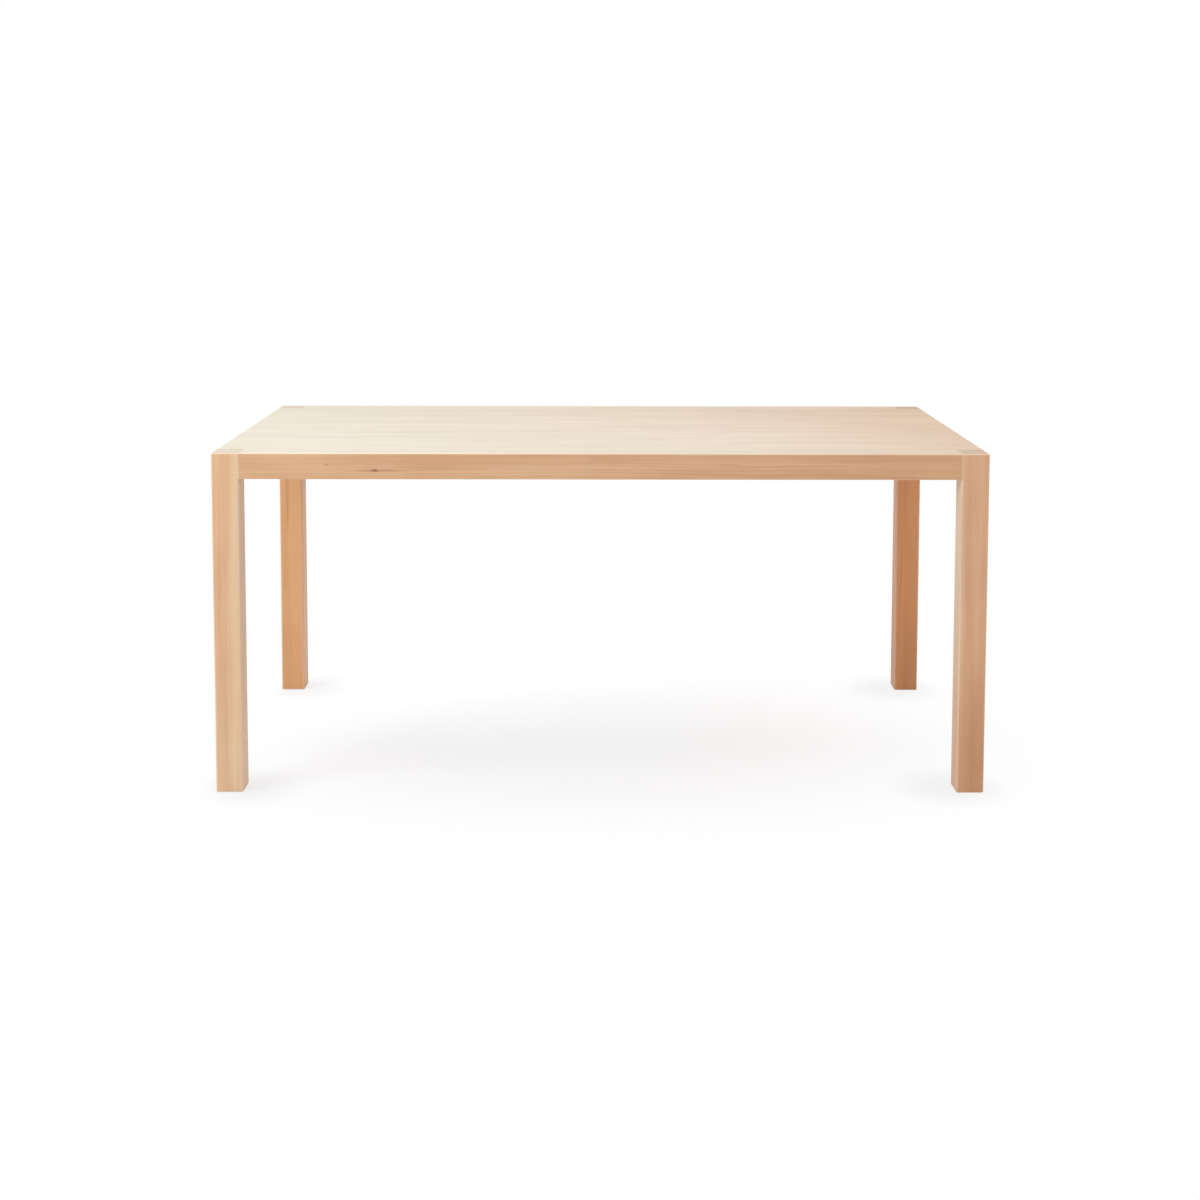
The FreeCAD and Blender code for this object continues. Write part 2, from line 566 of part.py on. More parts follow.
# Corner blocks
def make_corner_block(corner):
    """A block across a corner, in the same frame as the leg there."""
    block = new_body(f"corner_block_{corner[0]}")
    rail = "sizes.rail_thickness"

    plan = new_sketch(block, "block_plan", "XY_Plane", f"{RAIL_BOTTOM} + sizes.block_lift")
    near = BLOCK_NEAR_END
    far = BLOCK_FAR_END
    trimmed = f"{rail} + sizes.block_trim"
    points = ((near, rail), (far, rail), (far, trimmed), (trimmed, far), (rail, far), (rail, near))
    draw_outline(plan, points)
    pad(block, "block", plan, f"{RAIL_DEPTH} - sizes.block_lift")

    bolt_hole = new_bolt_sketch(block, "bolt_hole_outline")
    draw_circle(bolt_hole, "0", "0", "sizes.bolt_diameter + sizes.bolt_clearance")
    pocket(block, "bolt_hole", bolt_hole, "through", reverse=True)

    # a screw into each rail, its head sunk in the block's inner face
    passage = "sizes.block_screw_diameter + sizes.screw_clearance"
    sink = "sizes.block_screw_head + sizes.head_clearance"
    seat = f"{rail} + sizes.block_screw_wall"
    cuts = (("first_screw_hole", rail, passage), ("first_screw_sink", seat, sink))
    for name, start, diameter in cuts:
        hole = new_sketch(block, f"{name}_outline", "XZ_Plane", f"-({start})")
        draw_circle(hole, BLOCK_SCREW_PLACE, BOLT_LEVEL, diameter)
        pocket(block, name, hole, "through")
    cuts = (("second_screw_hole", rail, passage), ("second_screw_sink", seat, sink))
    for name, start, diameter in cuts:
        hole = new_sketch(block, f"{name}_outline", "YZ_Plane", start)
        draw_circle(hole, BLOCK_SCREW_PLACE, BOLT_LEVEL, diameter)
        pocket(block, name, hole, "through", reverse=True)

    underside = value(f"{RAIL_BOTTOM} + sizes.block_lift")
    round_edges(block, "lower_arrises", ({"z": underside},), "sizes.inner_edge_radius")

    place(block, *corner_place(corner, "0", "0"), "0", corner[3])


# Buttons
def make_button():
    """A button, with its origin on the rail's inner face under the top, and Y away from the rail."""
    button = new_body("button", is_node=False)
    face = "sizes.button_face_gap"
    end = f"{face} + sizes.button_reach"
    upper = "-sizes.button_top_gap"
    lower = "-(sizes.button_top_gap + sizes.button_thickness)"
    tongue_upper = "-sizes.groove_drop"
    tongue_lower = "-(sizes.groove_drop + sizes.tongue_thickness)"
    tongue_end = "-(sizes.groove_depth - sizes.tongue_end_gap)"
    bevel = "sizes.button_bevel"

    side_view = new_sketch(button, "side_view", "YZ_Plane")
    draw_outline(side_view, (
        (face, upper), (end, upper), (end, f"{lower} + {bevel}"), (f"{end} - {bevel}", lower),
        (face, lower), (face, tongue_lower), (tongue_end, tongue_lower), (tongue_end, tongue_upper),
        (face, tongue_upper)))
    pad(button, "button_block", side_view, "sizes.button_width", both_ways=True)

    hole = new_sketch(button, "screw_hole_outline", "XY_Plane", lower)
    passage = "sizes.button_screw_diameter + sizes.screw_clearance"
    draw_circle(hole, "0", BUTTON_SCREW_REACH, passage)
    head_overhang = "(sizes.button_screw_head - sizes.button_screw_diameter) / 2"
    head_slope = f"{head_overhang} / sizes.button_screw_head_height"
    screw_hole = button.newObject("PartDesign::Hole", "screw_hole")
    screw_hole.Profile = hole
    screw_hole.Reversed = True
    screw_hole.DepthType = "ThroughAll"
    screw_hole.setExpression("Diameter", passage)
    screw_hole.HoleCutType = "Countersink"
    screw_hole.HoleCutCustomValues = True
    screw_hole.setExpression("HoleCutDiameter", "sizes.button_screw_head + sizes.screw_clearance")
    screw_hole.setExpression("HoleCutCountersinkAngle", f"2 * atan({head_slope})")
    doc.recompute()
    return button


# Fasteners and glides, each made once and then placed
def revolve_upright(body, points):
    """Turns a half view, given as radius and height, about the vertical."""
    half_view = new_sketch(body, "half_view", "XZ_Plane")
    draw_outline(half_view, points)
    revolve(body, "turned", half_view, "V_Axis")


def revolve_lying(body, points):
    """Turns a half view, given as radius and distance along X, about X."""
    half_view = new_sketch(body, "half_view", "XY_Plane")
    draw_outline(half_view, [(along, radius) for radius, along in points])
    revolve(body, "turned", half_view, "H_Axis")


def pan_screw_points(name, length):
    """Half view of a screw with a crowned head, measured from its seat towards its point."""
    shank = f"sizes.{name}_diameter / 2"
    head = f"sizes.{name}_head / 2"
    crown = f"-sizes.{name}_head_height"
    return (("0", crown), (f"{CROWN_WIDTH_SHARE} * {head}", crown),
            (head, f"{CROWN_HEIGHT_SHARE} * ({crown})"), (head, "0"), (shank, "0"),
            (shank, f"{length} - sizes.screw_point"), ("0", length))


def sunk_screw_points(name, length):
    """Half view of a countersunk screw, measured from its flush face towards its point."""
    shank = f"sizes.{name}_diameter / 2"
    return (("0", "0"), (f"sizes.{name}_head / 2", "0"), (shank, f"sizes.{name}_head_height"),
            (shank, f"{length} - sizes.screw_point"), ("0", length))


def make_bearer_screw():
    screw = new_body("bearer_screw", is_node=False)
    revolve_upright(screw, pan_screw_points("bearer_screw", BEARER_SCREW_LENGTH))
    return screw


def make_button_screw():
    screw = new_body("button_screw", is_node=False)
    revolve_upright(screw, sunk_screw_points("button_screw", BUTTON_SCREW_LENGTH))
    return screw


def make_block_screw():
    screw = new_body("block_screw", is_node=False)
    revolve_lying(screw, pan_screw_points("block_screw", BLOCK_SCREW_LENGTH))
    return screw


def make_hanger_bolt():
    """A headless bolt, along X from the leg's flat: screw thread behind, machine thread ahead."""
    bolt = new_body("hanger_bolt", is_node=False)
    radius = "sizes.bolt_diameter / 2"
    ahead = ("sizes.block_thickness + sizes.washer_thickness"
             " + sizes.nut_thickness + sizes.bolt_past_nut")
    taper = "-sizes.bolt_in_leg + sizes.bolt_point"
    revolve_lying(bolt, (("0", "-sizes.bolt_in_leg"), ("0", ahead), (radius, ahead), (radius, taper)))
    return bolt


def make_washer():
    washer = new_body("bolt_washer", is_node=False)
    face = new_sketch(washer, "face", "YZ_Plane")
    draw_circle(face, "0", "0", "sizes.washer_diameter")
    draw_circle(face, "0", "0", "sizes.bolt_diameter + sizes.bolt_clearance")
    pad(washer, "washer", face, "sizes.washer_thickness")
    return washer


def make_nut():
    nut = new_body("bolt_nut", is_node=False)
    flat = "sizes.nut_width / 2"
    side = f"({flat} / sqrt(3))"
    face = new_sketch(nut, "face", "YZ_Plane")
    draw_outline(face, (
        (flat, f"-{side}"), (flat, side), ("0", f"2 * {side}"),
        (f"-{flat}", side), (f"-{flat}", f"-{side}"), ("0", f"-2 * {side}")))
    draw_circle(face, "0", "0", "sizes.bolt_diameter")
    pad(nut, "nut", face, "sizes.nut_thickness")
    return nut


def make_glide():
    """A nail-on glide, with its contact face at zero Z and its nail up into the leg."""
    glide = new_body("glide", is_node=False)
    edge = "sizes.glide_diameter / 2"
    slope = "sizes.glide_height - sizes.glide_rim"
    nail = "sizes.nail_diameter / 2"
    nail_end = "sizes.glide_height + sizes.nail_length"
    revolve_upright(glide, (
        ("0", "0"), (f"{edge} - ({slope})", "0"), (edge, slope), (edge, "sizes.glide_height"),
        (nail, "sizes.glide_height"), (nail, f"{nail_end} - sizes.nail_diameter"), ("0", nail_end)))
    return glide


# The table, piece by piece
for corner in CORNERS:
    make_leg(corner)

front_face = "-sizes.table_depth / 2"
back_face = "sizes.table_depth / 2"
left_face = "-sizes.table_length / 2"
right_face = "sizes.table_length / 2"
make_rail("rail_front", LONG_SHOULDERS, ("0", front_face), 0, True)
make_rail("rail_right", SHORT_SHOULDERS, (right_face, "0"), 90, False)
make_rail("rail_back", LONG_SHOULDERS, ("0", back_face), 180, True)
make_rail("rail_left", SHORT_SHOULDERS, (left_face, "0"), 270, False)

for number in range(len(BOARD_WIDTH_SHARES)):
    make_board(number)

for name, share in zip(("left", "middle", "right"), BEARER_PLACE_SHARES):
    make_bearer(f"cross_bearer_{name}", share)

for corner in CORNERS:
    make_corner_block(corner)


# Hanger bolts, washers and nuts, in line across each corner
def bolt_places(forward):
    """Places on the four bolts' axes, a formula's length ahead of the leg's flat."""
    inward = f"{SEAT_MIDDLE} + ({forward}) / sqrt(2)"
    return [(*corner_place(corner, inward, inward), BOLT_LEVEL, HALF_RIGHT_ANGLE + corner[3])
            for corner in CORNERS]


new_group("hanger_bolts", make_hanger_bolt(), bolt_places("0"))
new_group("bolt_washers", make_washer(), bolt_places("sizes.block_thickness"))
new_group("bolt_nuts", make_nut(), bolt_places("sizes.block_thickness + sizes.washer_thickness"))

# Buttons and their screws, on the four rails
button_places = []
button_screw_places = []
button_underside = f"{TOP_UNDERSIDE} - sizes.button_top_gap - sizes.button_thickness"
rail_to_middle = "sizes.table_depth / 2 - sizes.rail_thickness"
rail_to_middle_along = "sizes.table_length / 2 - sizes.rail_thickness"
for side, turn in ((-1, 0), (1, 180)):
    for share in LONG_BUTTON_PLACE_SHARES:
        button_x = f"{share} * {LONG_SHOULDERS} / 2"
        button_places.append((button_x, f"{side} * ({rail_to_middle})", TOP_UNDERSIDE, turn))
        screw_y = f"{side} * ({rail_to_middle} - {BUTTON_SCREW_REACH})"
        button_screw_places.append((button_x, screw_y, button_underside, 0))
side_button_numbers = [
    number for number in range(len(BOARD_WIDTH_SHARES)) if board_name(number) in SIDE_BUTTON_BOARDS]
for side, turn in ((-1, 270), (1, 90)):
    for number in side_button_numbers:
        button_y = board_middle(number)
        button_places.append((f"{side} * ({rail_to_middle_along})", button_y, TOP_UNDERSIDE, turn))
        screw_x = f"{side} * ({rail_to_middle_along} - {BUTTON_SCREW_REACH})"
        button_screw_places.append((screw_x, button_y, button_underside, 0))
new_group("top_buttons", make_button(), button_places)
new_group("button_screws", make_button_screw(), button_screw_places)

# Bearer screws, one for each board on each bearer
bearer_screw_places = [
    (f"{share} * {LONG_SHOULDERS} / 2", board_middle(number), f"{BEARER_BOTTOM} + sizes.slot_sink", 0)
    for share in BEARER_PLACE_SHARES for number in range(len(BOARD_WIDTH_SHARES))]
new_group("bearer_screws", make_bearer_screw(), bearer_screw_places)

# Block screws, one into each rail at each corner, level with the bolts
block_screw_places = []
head_seat = "sizes.rail_thickness + sizes.block_screw_wall"
for corner in CORNERS:
    into_first_rail = corner_place(corner, BLOCK_SCREW_PLACE, head_seat)
    into_second_rail = corner_place(corner, head_seat, BLOCK_SCREW_PLACE)
    block_screw_places.append((*into_first_rail, BOLT_LEVEL, corner[3] + FIRST_SCREW_TURN))
    block_screw_places.append((*into_second_rail, BOLT_LEVEL, corner[3] + SECOND_SCREW_TURN))
new_group("block_screws", make_block_screw(), block_screw_places)

# Glides, under the middle of each foot
half_leg = "sizes.leg_size / 2"
glide_places = [(*corner_place(corner, half_leg, half_leg), "0", 0) for corner in CORNERS]
new_group("floor_glides", make_glide(), glide_places)

# Nothing is written unless every object is sound
doc.recompute()
for piece in doc.Objects:
    if {"Invalid", "Error"} & set(piece.State):
        raise RuntimeError(f"{piece.Label} is {piece.State}")
for node in node_objects:
    if node.Shape.isNull() or not node.Shape.isValid():
        raise RuntimeError(f"{node.Label} has no sound shape")

os.makedirs("parts", exist_ok=True)
for node in node_objects:
    node.Shape.exportStep(f"parts/{node.Label}.step")
    box = node.Shape.BoundBox
    solids = len(node.Shape.Solids)
    print(f"{node.Label}: {solids} solids, {box.XLength:.1f} x {box.YLength:.1f} x {box.ZLength:.1f}, "
          f"{node.Shape.Volume / 1000:.1f} cm3")
print(f"{len(node_objects)} nodes")
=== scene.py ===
# %% [markdown]
# # A banquet table of pale solid wood
#
# The joinery of this table comes in finished: legs, rails, boards, bearers, blocks, buttons and the
# steel between them. This lesson gives the wood and the steel their finishes, turns the bolts, nuts
# and screws again with real threads and drive recesses, and sets the table in a white studio before a
# camera.
#
# Lengths are in metres. X runs along the table, Y from its front edge to the back, and Z up.

# %% Load the frame
import math

import bmesh
import bpy
from mathutils import Matrix, Vector


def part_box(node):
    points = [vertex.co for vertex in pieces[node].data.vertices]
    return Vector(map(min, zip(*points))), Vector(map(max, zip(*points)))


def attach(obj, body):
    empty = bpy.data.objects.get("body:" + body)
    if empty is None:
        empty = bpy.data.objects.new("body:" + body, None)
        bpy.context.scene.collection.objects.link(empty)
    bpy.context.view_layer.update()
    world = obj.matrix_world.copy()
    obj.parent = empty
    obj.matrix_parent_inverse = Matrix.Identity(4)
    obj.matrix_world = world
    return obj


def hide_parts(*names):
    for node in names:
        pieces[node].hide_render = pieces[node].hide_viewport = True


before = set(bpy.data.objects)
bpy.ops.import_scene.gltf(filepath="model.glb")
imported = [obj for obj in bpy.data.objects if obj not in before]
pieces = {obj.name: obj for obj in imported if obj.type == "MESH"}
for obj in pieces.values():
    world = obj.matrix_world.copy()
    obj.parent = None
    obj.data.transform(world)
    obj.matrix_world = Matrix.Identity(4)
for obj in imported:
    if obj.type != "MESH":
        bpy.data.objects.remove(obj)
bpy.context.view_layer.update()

# %% [markdown]
# ## Sums on a material's wires
#
# A material is a net of nodes, and each sum in it could be placed and linked by hand, two lines of
# script for every plus sign. Wrapping an output socket in a small class is shorter: adding two wires
# places the Math node, so a pattern reads like the formula that it is. Vectors and colours get
# Vector Math, and every other node comes from the one method called node.
#
# A wire without a socket is the bench of a material, on which its first nodes are made.

# %% A wire
class Wire:
    """An output of a shader node that can be used in sums. Without a socket, it only adds nodes."""

    def __init__(self, tree, socket=None):
        self.tree = tree
        self.socket = socket

    def node(self, kind, settings=None, sockets=None, output=0):
        """Adds a node, sets it up, feeds its sockets with wires or values, and returns an output."""
        added = self.tree.nodes.new(kind)
        for name, setting in (settings or {}).items():
            setattr(added, name, setting)
        for name, source in (sockets or {}).items():
            if isinstance(source, Wire):
                self.tree.links.new(source.socket, added.inputs[name])
            else:
                added.inputs[name].default_value = source
        return Wire(self.tree, added.outputs[output] if added.outputs else None)

    @staticmethod
    def single(term):
        """True for a number, and for a wire that carries one."""
        if isinstance(term, Wire):
            return term.socket.type == "VALUE"
        return isinstance(term, (int, float))

    def sum(self, operation, *terms):
        """A Math node, or a Vector Math node where one of the terms has three numbers."""
        if all(map(self.single, terms)):
            return self.node("ShaderNodeMath", {"operation": operation}, dict(enumerate(terms)))
        triples = [(term,) * 3 if isinstance(term, (int, float)) else term for term in terms]
        return self.node("ShaderNodeVectorMath", {"operation": operation}, dict(enumerate(triples)))

    def __add__(self, other):
        return self.sum("ADD", self, other)

    def __radd__(self, other):
        return self.sum("ADD", other, self)

    def __sub__(self, other):
        return self.sum("SUBTRACT", self, other)

    def __rsub__(self, other):
        return self.sum("SUBTRACT", other, self)

    def __mul__(self, other):
        return self.sum("MULTIPLY", self, other)

    def __rmul__(self, other):
        return self.sum("MULTIPLY", other, self)

    def __truediv__(self, other):
        return self.sum("DIVIDE", self, other)

    def __rtruediv__(self, other):
        return self.sum("DIVIDE", other, self)

    def __pow__(self, other):
        return self.sum("POWER", self, other)

    def __rpow__(self, other):
        return self.sum("POWER", other, self)

    def __abs__(self):
        return self.sum("ABSOLUTE", self)


print("a wire adds, subtracts, multiplies, divides, and takes powers and absolute values")

# %% [markdown]
# ## Tools for patterns
#
# Every pattern here is made of few things: a soft step between two levels, a blend of two colours,
# noise stretched along the grain, the largest of several wires, and the three numbers of a place
# taken apart and put together. The two levels of a step are often named as a pair, first the one
# where it is 0 and then the one where it is 1.

# %% Steps, blends and noise
# A Mix node has sockets for numbers and vectors too, so the ones for colours go by number.
MIX_SHARE, MIX_UNDER, MIX_OVER, MIX_COLOUR = 0, 6, 7, 2
NOISE_ROUGHNESS = 0.55


def step(wire, low, high):
    """Rises smoothly from 0 to 1 as the wire goes from low to high, or falls where low is larger."""
    sockets = {"Value": wire, "From Min": low, "From Max": high}
    return wire.node("ShaderNodeMapRange", {"interpolation_type": "SMOOTHSTEP"}, sockets)


def blend(share, under, over):
    """Lays the colour over on the colour under, by a share from 0 to 1."""
    settings = {"data_type": "RGBA", "clamp_factor": True}
    sockets = {MIX_SHARE: share, MIX_UNDER: under, MIX_OVER: over}
    return share.node("ShaderNodeMix", settings, sockets, MIX_COLOUR)


def noise(place, stretch, detail=2.0, output="Fac"):
    """Noise from 0 to 1. Stretch gives its waves in a metre along each axis."""
    sockets = {"Vector": place * stretch, "Scale": 1.0, "Detail": detail,
               "Roughness": NOISE_ROUGHNESS}
    return place.node("ShaderNodeTexNoise", sockets=sockets, output=output)


def screen(red, green, blue):
    """A colour written as on a screen, from 0 to 255, as the light that a shader works with."""
    shares = [level / 255 for level in (red, green, blue)]
    lights = [s / 12.92 if s <= 0.04045 else ((s + 0.055) / 1.055) ** 2.4 for s in shares]
    return (*lights, 1)


print("white on a screen is", screen(255, 255, 255))

# %% Places and benches
def apart(place):
    return [place.node("ShaderNodeSeparateXYZ", sockets={"Vector": place}, output=axis)
            for axis in range(3)]


def together(x, y, z):
    return x.node("ShaderNodeCombineXYZ", sockets={0: x, 1: y, 2: z})


def distance(place):
    """How far a place lies from the origin."""
    return place.node("ShaderNodeVectorMath", {"operation": "LENGTH"}, {0: place}, "Value")


def greatest(wire, *others):
    for other in others:
        wire = wire.sum("MAXIMUM", wire, other)
    return wire


def bench_of(owner):
    """Clears a new material or world of its nodes, and returns the bench for making others."""
    owner.use_nodes = True
    owner.node_tree.nodes.clear()
    return Wire(owner.node_tree)


print("a place is measured from the floor under the middle of the table")

# %% [markdown]
# ## Which way the grain runs
#
# A picture of wood wrapped round a leg would break at every edge. Real boards are slices of a log,
# so the wood here is solid too: each piece is told where the heart of its log lay and which way
# the grain runs, and its rings, streaks and end grain then follow by themselves on every face.
# No two boards have quite the same colour, so each is also told its tone: how much redder, greener
# and bluer than the rest it is. The tone also carries painted shade: the back boards, the back legs
# and the front right leg are made darker, as where less light falls. One finish can then serve many
# pieces, because these facts are kept on each piece as custom properties, which a material reads.

# %% Tell the boards and rails about their logs
def tell(name, **facts):
    """Keeps facts of three numbers each on a piece."""
    for title, numbers in facts.items():
        pieces[name][title] = [float(number) for number in numbers]


def set_grain(name, turn, heart, tone=(1, 1, 1)):
    """Turn is in degrees from X. Heart is the log's heart seen from the piece's middle: across
    the grain, up, and a shift along it that picks another stretch of the log."""
    low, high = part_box(name)
    turned = Matrix.Rotation(-math.radians(turn), 3, "Z") @ ((low + high) / 2)
    pieces[name]["grain_turn"] = math.radians(turn)
    tell(name, heart=(turned.y + heart[0], turned.z + heart[1], heart[2]), tone=tone)


# The heart and the tone of each board, from the front one to the back one. Towards the back the
# tone darkens as painted shade.
BOARDS = (((0.022, -0.085, 1.3), (1, 1, 1)),
          ((-0.05, -0.07, 5.2), (1.01, 1.0, 0.99)),
          ((0.03, 0.11, 9.4), (0.97, 0.97, 0.97)),
          ((-0.01, -0.13, 13.7), (0.99, 0.97, 0.97)),
          ((0.06, 0.08, 17.1), (0.95, 0.94, 0.92)),
          ((-0.035, -0.1, 21.9), (0.91, 0.91, 0.87)),
          ((0.015, 0.12, 26.3), (0.86, 0.86, 0.81)))
for number, (heart, tone) in enumerate(BOARDS, start=1):
    set_grain(f"top_board_{number}", 0, heart, tone)
RAILS = {"front": (0, (0.07, -0.03, 32.3)), "right": (90, (0.06, 0.05, 35.4)),
         "back": (0, (-0.08, 0.04, 39.8)), "left": (90, (-0.07, -0.02, 43.3))}
for side, (turn, heart) in RAILS.items():
    set_grain(f"rail_{side}", turn, heart)
print("front rail's log has its heart at", [round(x, 3) for x in pieces["rail_front"]["heart"]])

# %% The hidden frame under the top
BEARERS = {"left": (0.05, -0.09, 50), "middle": (-0.01, -0.09, 54), "right": (-0.07, -0.09, 58)}
for place, heart in BEARERS.items():
    set_grain(f"cross_bearer_{place}", 90, heart)
BLOCKS = {"front_left": (-45, (0.04, 0.05, 70)), "front_right": (45, (0.04, 0.06, 73)),
          "back_right": (-45, (0.04, 0.07, 76)), "back_left": (45, (0.04, 0.08, 79))}
for corner, (turn, heart) in BLOCKS.items():
    set_grain(f"corner_block_{corner}", turn, heart)
set_grain("top_buttons", 90, (0.3, -0.06, 90))
print("bearers and buttons lie along Y, and the corner blocks across their corners")

# %% [markdown]
# The grain of a leg runs up, so its heart is given along X, along Y, and as a shift up the log.
# The legs differ in colour, partly as tone and partly as painted shade, and near the floor each is
# told the painted light or shade of its foot too: lighter on the front left leg, darker on the
# others.
# The front left leg was sawn near the outside of the log and shows a stripe of sapwood, the paler
# young wood under the bark. The front right leg has a pale stripe too, on the face towards the
# window, but there it is painted light. Laid on a face as a picture, the stripe would end at its
# edge. Instead a leg is told how far from the heart its stripe starts, how pale it is, and half the
# width over which it starts, and the stripe turns the corner by itself.

# %% Tell the legs
NO_SAPWOOD = (9, 0, 0.005)


def set_upright_grain(name, heart, **facts):
    low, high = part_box(name)
    middle = (low + high) / 2
    tell(name, heart=(middle.x + heart[0], middle.y + heart[1], heart[2]), **facts)


# The tones of the back legs and of the front right one are partly painted shade: they are darker and
# more orange, as where less light falls.
set_upright_grain("leg_front_left", (-0.07, 0.09, 2.2), sapwood=(0.1445, 0.6, 0.005),
                  tone=(1, 1.02, 1.03), foot_tone=(1.04, 1.11, 1.19))
# Its pale stripe lies on the face towards the window and is painted light, not sapwood.
set_upright_grain("leg_front_right", (0.16, 0.0, 6.7), sapwood=(0.1872, 0.95, 0.003),
                  tone=(0.965, 0.905, 0.87), foot_tone=(0.86, 0.77, 0.74))
set_upright_grain("leg_back_right", (-0.1, -0.06, 11.5), sapwood=NO_SAPWOOD,
                  tone=(1.0, 0.75, 0.54), foot_tone=(0.74, 0.71, 0.68))
set_upright_grain("leg_back_left", (0.09, -0.08, 15.3), sapwood=NO_SAPWOOD,
                  tone=(0.97, 0.85, 0.69), foot_tone=(0.98, 0.98, 0.97))
print("front left leg's sapwood starts", pieces["leg_front_left"]["sapwood"][0], "from the heart")

# %% [markdown]
# ## The log
#
# The table is a pale, close-grained hardwood with a satin oil finish. Its growth rings are a few
# millimetres apart, with a thin darker line each. They could be a wave texture laid along each
# board, but that gives straight stripes. Measuring each point's distance from the heart of a
# slightly wandering log gives straight lines, arches on the flat faces and arcs on the ends, as
# sawing a log does.

# %% Places in the log
def fact(bench, title, output="Vector"):
    """What the piece was told about itself."""
    settings = {"attribute_type": "OBJECT", "attribute_name": title}
    return bench.node("ShaderNodeAttribute", settings, output=output)


def sawn_log(bench, place, normal, upright):
    """Places in the log, across, up and along, and how far a face looks along the grain."""
    heart = fact(bench, "heart")
    if upright:
        return place - heart, abs(apart(normal)[2])
    back = fact(bench, "grain_turn", "Fac") * -1
    turned = [bench.node("ShaderNodeVectorRotate", {"rotation_type": "Z_AXIS"},
                         {"Vector": wire, "Angle": back}) for wire in (place, normal)]
    along, across, up = apart(turned[0])
    return together(across, up, along) - heart, abs(apart(turned[1])[0])


hearts = [round(pieces[f"top_board_{number}"]["heart"][0], 2) for number in range(1, 8)]
print("the hearts of the boards lie at Y =", hearts)

# %% Growth rings
# The heart wanders by so many metres, and the rings crowd together or spread by so many rings.
RING_WIDTH = 0.0034
LINE_THINNESS = 3
WANDER, WANDER_WAVES = 0.016, (5, 5, 0.9)
CROWDING, CROWDING_WAVES = 2.4, (14, 14, 1.1)
CLEARNESS, CLEARNESS_WAVES = (0.35, 0.7), (18, 18, 1.6)


def growth_rings(log):
    """The distance from the wandering heart, and a thin late-wood line for each ring, from
    0 to 1, clear in some stretches and faint in others."""
    wander = noise(log, WANDER_WAVES, 1.0, "Color") - 0.5
    from_heart = distance((log + wander * (2 * WANDER, 2 * WANDER, 0)) * (1, 1, 0))
    count = from_heart / RING_WIDTH + CROWDING * noise(log, CROWDING_WAVES)
    wave = count.node("ShaderNodeMath", {"operation": "SINE"}, {0: count * (2 * math.pi)})
    clear = step(noise(log, CLEARNESS_WAVES), *CLEARNESS)
    return from_heart, (0.5 + 0.5 * wave) ** LINE_THINNESS * clear


board_low, board_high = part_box("top_board_1")
board_width = board_high.y - board_low.y
print(f"a board {board_width:.3f} wide crosses about {board_width / RING_WIDTH:.0f} rings")

# %% [markdown]
# Between the rings the wood isn't one colour either. Four noises, all stretched along the grain,
# make its figure: broad bands, soft clouds, streaks, and the fine fibres that show only up close.

# %% The figure of the wood
# The waves in a metre across, up and along, the detail, and how much it deepens the colour.
FIGURE = {"bands": ((26, 26, 1.6), 1.0, 1.3), "clouds": ((11, 11, 5), 2.0, 0.9),
          "streaks": ((130, 130, 2.4), 3.0, 0.9), "fibres": ((900, 900, 14), 1.0, 0.5)}
USUAL_DEPTH = 0.32
RING_DEPTH = 0.3


def figure(log, rings):
    """How deep the colour of the wood is, from 0 to 1, and the noises that it is made of."""
    depth = USUAL_DEPTH + RING_DEPTH * rings
    noises = {}
    for title, (waves, detail, weight) in FIGURE.items():
        noises[title] = noise(log, waves, detail)
        depth = depth + weight * (noises[title] - 0.5)
    return depth, noises


print("the figure is made of", ", ".join(FIGURE))

# %% [markdown]
# ## The finish, layer by layer
#
# The finish is laid on in layers, in the order in which a real one comes about, with painted light
# and shade among them. First comes the log's own colour, with the sapwood, the painted light of the
# pale stripe on the front right leg, and the painted light or shade at the foot of a leg. Towards the
# floor the pale stripe is softer and fainter, as in the photograph.

# %% Pale stripes, and painted light and shade at the feet
# The colour of the pale stripe: sapwood on the front left leg, painted light on the front right one.
PALE_STRIPE = screen(238, 208, 174)
SOFTER_BY, STRIPE_SOFTENS = 0.03, (0.6, 0.1)
FAINTEST, STRIPE_STRENGTHENS = 0.5, (0.1, 0.5)
# The heights between which a foot's painted light or shade comes in.
PAINTED_FOOT_SHADING_HEIGHTS = (0.36, -0.02)


def leg_colours(bench, wood, from_heart, height):
    starts, paleness, softness = apart(fact(bench, "sapwood"))
    spread = softness + SOFTER_BY * step(height, *STRIPE_SOFTENS)
    stripe_share = step(from_heart - starts, spread * -1, spread)
    strength = FAINTEST + (1 - FAINTEST) * step(height, *STRIPE_STRENGTHENS)
    wood = blend(paleness * strength * stripe_share, wood, PALE_STRIPE)
    # Painted light or shade at the foot: lighter on the front left leg, darker on the others.
    return wood * (1 - (1 - fact(bench, "foot_tone")) * step(height, *PAINTED_FOOT_SHADING_HEIGHTS))


print("a foot takes on its own tone below", PAINTED_FOOT_SHADING_HEIGHTS[0])

# %% [markdown]
# Then comes painted light from the window. Faces that look up are painted paler, most at the left
# front corner, which stands nearest to the window, and less and less towards the right and the back.
# The ends of the legs in the top are end grain, which soaks up more oil and stays a little darker,
# and painted shade darkens them further towards the right and the back.

# %% Painted window light
# The paler colours painted on faces that look up, where the window light falls.
WINDOW_LIT_COLOURS = screen(225, 213, 189), screen(207, 190, 163)
# The tops of the legs: end grain, darkened further by painted shade at the right and the back.
END_IN_SHADE = (0.74, 0.73, 0.68, 1)
END_IN_SUN = (0.96, 0.94, 0.93, 1)
FACING_UP = (0.3, 0.9)
DAYLIGHT_LOST, DAYLIGHT_FADES = 0.75, (-0.9, 1.3)
BACK_COUNTS = 0.8


